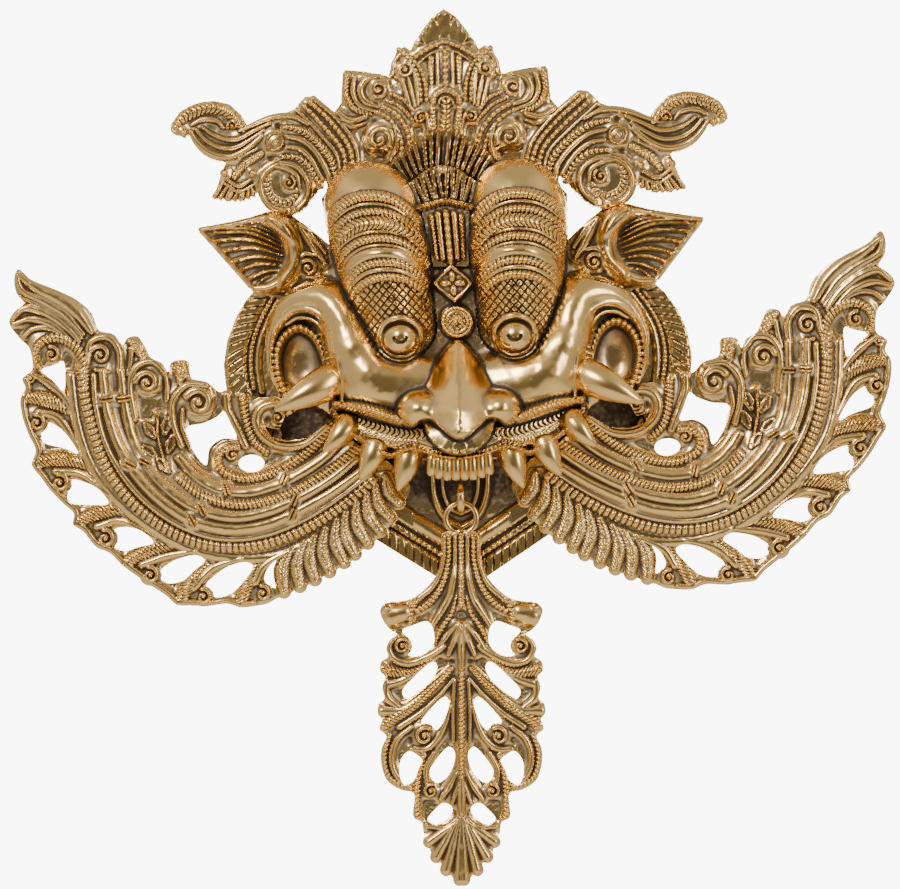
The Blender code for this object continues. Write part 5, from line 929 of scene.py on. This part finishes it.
def cavity_of(r):
    """How deep each point lies under its surroundings: above 0 in the carving, below 0 on its edges."""
    h = np.where(r.cover > 0, r.h, 0)
    fine = blurred(h, max(1, round(0.9 / r.step))) - h
    wide = blurred(h, round(3.5 / r.step)) - h
    return np.clip(fine / 0.6, -1, 1) * 0.75 + np.clip(wide / 3, -1, 1) * 0.35


def shallower(r, reach, depth):
    """Fills the gaps between the bands up to a depth below them."""
    n = round(reach / r.step)
    top = np.where(r.cover > 0, r.h, 0)
    for axis in (0, 1):
        top = np.max([np.roll(top, k, axis) for k in range(-n, n + 1)], axis=0)
    top = blurred(top, n // 2)
    r.h = np.maximum(r.h, np.where(r.cover > 0, top - depth, 0))


def roughen(r):
    """Grains over the ground that no carving covers, and faint dents over everything."""
    random = np.random.default_rng(7)
    slope = np.hypot(*np.gradient(r.h, r.step))
    for reach, where in ((1, r.h <= r.ground + 0.01), (max(1, round(1.4 / r.step)), True)):
        grain = blurred(random.normal(size=r.h.shape), reach)
        r.h += DENTS * where * np.clip(grain / grain.std(), -2, 2) / (1 + slope**2)


def leaning(places, faces):
    """The crown and brow of the real mask lean a little to the left."""
    p = np.array(places, float)
    shift = np.interp(p[:, 2], (-12, 10, 50, 66, 95, 140), (0, -2, -5, -6, -3.2, -3.4))
    p[:, 0] += shift * np.interp(np.abs(p[:, 0]), (60, 110), (1, 0.5))
    return p, faces


def linked(name, data):
    """A new object in the scene."""
    made = bpy.data.objects.new(name, data)
    bpy.context.scene.collection.objects.link(made)
    return made


def apply_modifier(made, kind, **settings):
    """Adds a modifier with its settings and applies it."""
    modifier = made.modifiers.new(kind.lower(), kind)
    for name, value in settings.items():
        setattr(modifier, name, value)
    bpy.context.view_layer.objects.active = made
    bpy.ops.object.modifier_apply(modifier=modifier.name)


def mark_patina_and_shade(mesh, values):
    """Stores how deep in the carving each point lies, for the brass to darken by as patina, with any painted
    shade added in.
    """
    mesh.attributes.new("patina_and_shade", "FLOAT", "POINT").data.foreach_set("value", values.astype(np.float32))


def finish(made, nodes, angle):
    """Shading, brass, and the body and nodes that a piece belongs to."""
    made.data.shade_smooth()
    made.data.set_sharp_from_angle(angle=radians(angle))
    made.data.materials.append(BRASS)
    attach(made, "root")
    if nodes:
        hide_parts(*nodes)


def piece(name, r, triangles, back=0.0, place=None, hollow=None, nodes=(), painted_shade=0.0):
    """A carved piece from its relief, thinned to a number of triangles."""
    roughen(r)
    places, faces = cast(r, back, hollow)
    half = len(places) // 2
    j = np.clip(np.round((places[:half, 0] - r.x[0]) / r.step).astype(int), 0, len(r.x) - 1)
    i = np.clip(np.round((places[:half, 2] - r.z[0]) / r.step).astype(int), 0, len(r.z) - 1)
    # The added amount is painted shade: it darkens the brass to the patina colour where shade falls, not
    # where the carving is deep.
    front = (cavity_of(r) + painted_shade)[i, j]
    if place is not None:
        places, faces = place(places, faces)
    mesh = bpy.data.meshes.new(name)
    mesh.vertices.add(len(places))
    mesh.vertices.foreach_set("co", ((places - (0, 0, HANGING_HEIGHT)) * MM).astype(np.float32).ravel())
    mesh.loops.add(len(faces) * 3)
    mesh.loops.foreach_set("vertex_index", faces.astype(np.int32).ravel())
    mesh.polygons.add(len(faces))
    mesh.polygons.foreach_set("loop_start", np.arange(0, len(faces) * 3, 3, dtype=np.int32))
    mesh.update(calc_edges=True)
    mesh.validate()
    mark_patina_and_shade(mesh, np.concatenate([front, np.full(half, 0.25)]))
    made = linked(name, mesh)
    apply_modifier(made, "DECIMATE", ratio=min(1, triangles / len(faces)))
    finish(made, nodes, 55)


def rod_piece(name, parts, levels, nodes=()):
    """A rounded piece from rough rods or rings."""
    verts, faces = [], []
    for places, sides in parts:
        faces += [tuple(k + len(verts) for k in side) for side in sides]
        verts += [(x * MM, y * MM, (z - HANGING_HEIGHT) * MM) for x, y, z in places]
    mesh = bpy.data.meshes.new(name)
    mesh.from_pydata(verts, [], faces)
    made = linked(name, mesh)
    apply_modifier(made, "SUBSURF", levels=levels, render_levels=levels)
    mark_patina_and_shade(mesh, np.full(len(mesh.vertices), -0.2))
    finish(made, nodes, 60)


# The brass

POLISHED = (0.84, 0.54, 0.185, 1)
TARNISHED = (0.56, 0.415, 0.225, 1)
# PATINA is the dark patina of the carving, and it also serves as painted shade on the shield under the
# mouth.
PATINA = (0.115, 0.088, 0.062, 1)


def shader_node(tree, kind, inputs, **settings):
    """A node with its settings, its plain input values and the links that come in."""
    made = tree.nodes.new("ShaderNode" + kind)
    for name, value in settings.items():
        setattr(made, name, value)
    for name, value in inputs.items():
        if isinstance(value, bpy.types.NodeSocket):
            tree.links.new(value, made.inputs[name])
        else:
            made.inputs[name].default_value = value
    return made


def brass_material():
    """Polished brass, tarnished in the shallows and dark with patina in the carving, and dark with painted
    shade where a piece adds it.
    """
    made = bpy.data.materials.new("antique_brass")
    made.use_nodes = True
    tree = made.node_tree
    coords = shader_node(tree, "TexCoord", {})
    grime = shader_node(tree, "TexNoise", {"Scale": 90, "Detail": 4, "Vector": coords.outputs["Object"]})
    # This attribute holds the depth in the carving, darkened as patina, plus painted shade on the shield
    # under the mouth.
    patina_and_shade = shader_node(tree, "Attribute", {}, attribute_name="patina_and_shade")
    sunk = shader_node(tree, "Math", {0: grime.outputs["Fac"], 1: 0.5, 2: patina_and_shade.outputs["Fac"]},
                       operation="MULTIPLY_ADD").outputs["Value"]
    tarnish = shader_node(tree, "MapRange", {"From Min": 0.22, "From Max": 0.55, "Value": sunk})
    patina = shader_node(tree, "MapRange", {"From Min": 0.32, "From Max": 1.0, "Value": sunk},
                         interpolation_type="SMOOTHSTEP").outputs["Result"]
    metal = shader_node(tree, "Mix", {"A": POLISHED, "B": TARNISHED, "Factor": tarnish.outputs["Result"]},
                        data_type="RGBA").outputs["Result"]
    colour = shader_node(tree, "Mix", {"A": metal, "B": PATINA, "Factor": patina}, data_type="RGBA")
    rough = shader_node(tree, "MapRange", {"To Min": 0.24, "To Max": 0.75, "Value": patina})
    shader = tree.nodes["Principled BSDF"]
    shader.inputs["Metallic"].default_value = 1.0
    tree.links.new(colour.outputs["Result"], shader.inputs["Base Color"])
    tree.links.new(rough.outputs["Result"], shader.inputs["Roughness"])
    return made


# The pieces

def shield_relief():
    """Shield and ears, cut out behind the face."""
    r = Relief(-130, 130, -152, 52, 0.5)
    carve_shield(r)
    carve_ear(r)
    shallower(r, 2, 2.6)
    lower_under_wings(r)
    r.hole(EAR_GAP, curved=False)
    r.hole(FACE_EDGE, -3.5, curved=False)
    return r


def crown_relief():
    """Crown and sprays, cut out behind the face."""
    r = Relief(-145, 145, 38, 151, 0.4)
    carve_crown(r)
    carve_spray(r)
    shallower(r, 2, 2.1)
    r.hole(EAR_GAP, curved=False)
    r.hole(FACE_EDGE, -3.5, curved=False)
    return r


def face_relief():
    """The face, kept inside its own edge."""
    r = Relief(-100, 100, -90, 90, 0.4)
    r.plate(FACE_EDGE, 11, curved=False)
    carve_face(r)
    carve_comb(r)
    carve_fine_brows(r)
    carve_eyes(r)
    carve_muzzle(r)
    carve_fine_lips(r)
    for w, signed in r.outline(FACE_EDGE, False):
        r.cover[w] = np.minimum(r.cover[w], signed)
    return r


def wing_relief(right):
    """A wing, drawn as the left one."""
    r = Relief(-228, -20, -157, 28, 0.4, mirrored=False)
    carve_wing(r)
    shallower(r, 2, 2.4)
    lip_hole(r, right)
    return r


def pendant_relief():
    """The pendant below its ring."""
    r = Relief(-46, 46, -296, -112, 0.35)
    carve_pendant(r)
    shallower(r, 1.8, 2.1)
    return r


# Distance from the middle, foot and reach
FRONT_TEETH = ((2.1, -79, 11.5), (6.2, -79, 11.5), (10.2, -78.5, 11), (13.9, -78, 10))
# Root, middle, tip and half thickness
CLAWS = (((25, -31, -73), (25.6, -37, -83), (31.4, -35, -95), 8.2),
         ((41, -31, -70), (43, -37, -79), (50, -35, -89), 8.0),
         ((54, -26, -59), (59, -34, -67), (68, -33, -75), 7.6),
         ((61, -27, -38), (72, -39, -44), (92, -38, -54), 10.4))
HOOK_PATH = [(0, -9, -93), (0, -16, -91), (0, -23, -92), (0, -27, -97), (0, -26, -103), (0, -21, -106.3),
             (0, -15, -106), (0, -10, -103.5), (0, -7.4, -101)]


def mouth_parts():
    """The front teeth, and the fangs and tusks curving out beside them."""
    parts = []
    for side in (1, -1):
        for x, z, reach in FRONT_TEETH:
            x *= side
            path = [(x, -38, z + 4), (x, -38.4, z - reach * 0.6), (x * 1.06, -37, z - reach)]
            parts.append(horn(path, [2.9, 2.9, 2.8], 8, 1.2))
        for root, middle, tip, size in CLAWS:
            t = np.linspace(0, 1, 7)[:, None]
            path = (1 - t) ** 2 * np.array(root) + 2 * t * (1 - t) * np.array(middle) + t**2 * np.array(tip)
            radii = size * np.interp(t[:, 0], (0, 0.45, 0.8, 1), (1, 0.86, 0.46, 0.06))
            parts.append(horn(path * (side, 1, 1), radii.tolist(), 10))
    return parts


# The stage

# Axis, where the light starts and is full, and its strength there
WORLD_RAMPS = (("Z", 0.3, 0.8, 0.0, 0.42), ("X", 0.35, 0.8, 0.0, 0.42), ("X", -0.3, -0.75, 0.0, 0.5),
               ("Z", -0.1, -0.6, 0.12, 0.05), ("Y", 0.88, 0.955, 0.0, 9.0))


def studio_world():
    """Soft light from above and both sides, dark gaps between, and a bright patch behind the mask."""
    world = bpy.data.worlds.new("studio")
    bpy.context.scene.world = world
    world.use_nodes = True
    tree = world.node_tree
    coords = shader_node(tree, "TexCoord", {})
    split = shader_node(tree, "SeparateXYZ", {"Vector": coords.outputs["Generated"]})
    total = 0.0
    for axis, low, high, dim, bright in WORLD_RAMPS:
        limits = {"From Min": low, "From Max": high, "To Min": dim, "To Max": bright}
        ramp = shader_node(tree, "MapRange", {**limits, "Value": split.outputs[axis]},
                           interpolation_type="SMOOTHSTEP")
        total = shader_node(tree, "Math", {0: total, 1: ramp.outputs["Result"]}).outputs["Value"]
    tree.links.new(total, tree.nodes["Background"].inputs["Strength"])
    tree.nodes["Background"].inputs["Color"].default_value = (1, 0.985, 0.96, 1)


def pale_floor():
    """The plain floor."""
    mesh = bpy.data.meshes.new("floor")
    mesh.from_pydata([(-2, -3, -1.1), (2, -3, -1.1), (2, 1, -1.1), (-2, 1, -1.1)], [], [(0, 1, 2, 3)])
    pale = bpy.data.materials.new("pale_floor")
    pale.use_nodes = True
    pale.node_tree.nodes["Principled BSDF"].inputs["Base Color"].default_value = (0.8, 0.8, 0.79, 1)
    mesh.materials.append(pale)
    linked("floor", mesh)


def area_light(name, place, size, power):
    """A soft lamp turned to the mask."""
    lamp = bpy.data.lights.new(name, "AREA")
    lamp.shape = "RECTANGLE"
    lamp.size, lamp.size_y = size
    lamp.energy = power
    made = linked(name, lamp)
    made.location = place
    made.rotation_euler = (Vector((0, 0, -0.1)) - Vector(place)).to_track_quat("-Z", "Y").to_euler()


def camera():
    """The view of the photograph."""
    lens = bpy.data.cameras.new("camera")
    lens.sensor_width = 36
    lens.lens = CAMERA_LENS
    view = linked("camera", lens)
    view.location = CAMERA_PLACE
    view.rotation_euler = (radians(90), radians(CAMERA_ROLL), 0)
    bpy.context.scene.camera = view


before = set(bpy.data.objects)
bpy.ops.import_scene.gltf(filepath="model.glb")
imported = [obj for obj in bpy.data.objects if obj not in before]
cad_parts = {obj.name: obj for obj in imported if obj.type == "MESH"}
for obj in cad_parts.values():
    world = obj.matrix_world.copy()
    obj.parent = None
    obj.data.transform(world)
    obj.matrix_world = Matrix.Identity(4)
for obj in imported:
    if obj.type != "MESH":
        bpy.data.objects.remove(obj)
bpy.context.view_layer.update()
for node in bpy.context.selected_objects:
    node.select_set(False)
BRASS = brass_material()
piece("face", face_relief(), 198000, place=leaning, hollow=hollow_back, nodes=("mask",))
piece("crown", crown_relief(), 190000, place=leaning)
shield = shield_relief()
# Painted shade: the shield under the mouth and behind the wings is darkened to the patina colour in place of
# the shadow there.
shade_under_mouth = np.clip((-42 - shield.Z) / 8, 0, 0.65) * np.clip((shield.Z + 106) / 12, 0, 1)
piece("shield", shield, 130000, place=leaning, painted_shade=shade_under_mouth)
rod_piece("teeth", mouth_parts(), 1)
piece("carved_wing_left", wing_relief(False), 170000, WING_BACK, nodes=("wing_left",))
piece("carved_wing_right", wing_relief(True), 170000, WING_BACK, turned(WING_PIVOT, WING_TURN, True),
      nodes=("wing_right",))
rod_piece("bent_hook", [horn(HOOK_PATH, [HOOK_ROD * 1.08] * len(HOOK_PATH), 10)], 2, ("hook",))
swing = turned((RING_CENTRE[0], RING_CENTRE[2]), PENDANT_TURN)
piece("drop", pendant_relief(), 120000, PENDANT_BACK, swing, nodes=("pendant",))
rod_piece("drop_ring", [torus(RING_CENTRE, RING_RADIUS, RING_ROD * 1.05, 32, 8)], 1)
studio_world()
pale_floor()
area_light("key", (-0.9, -1.7, 1.1), (0.7, 0.7), 38)
area_light("fill", (1.5, -1.3, 0.4), (0.4, 1.2), 17)
camera()
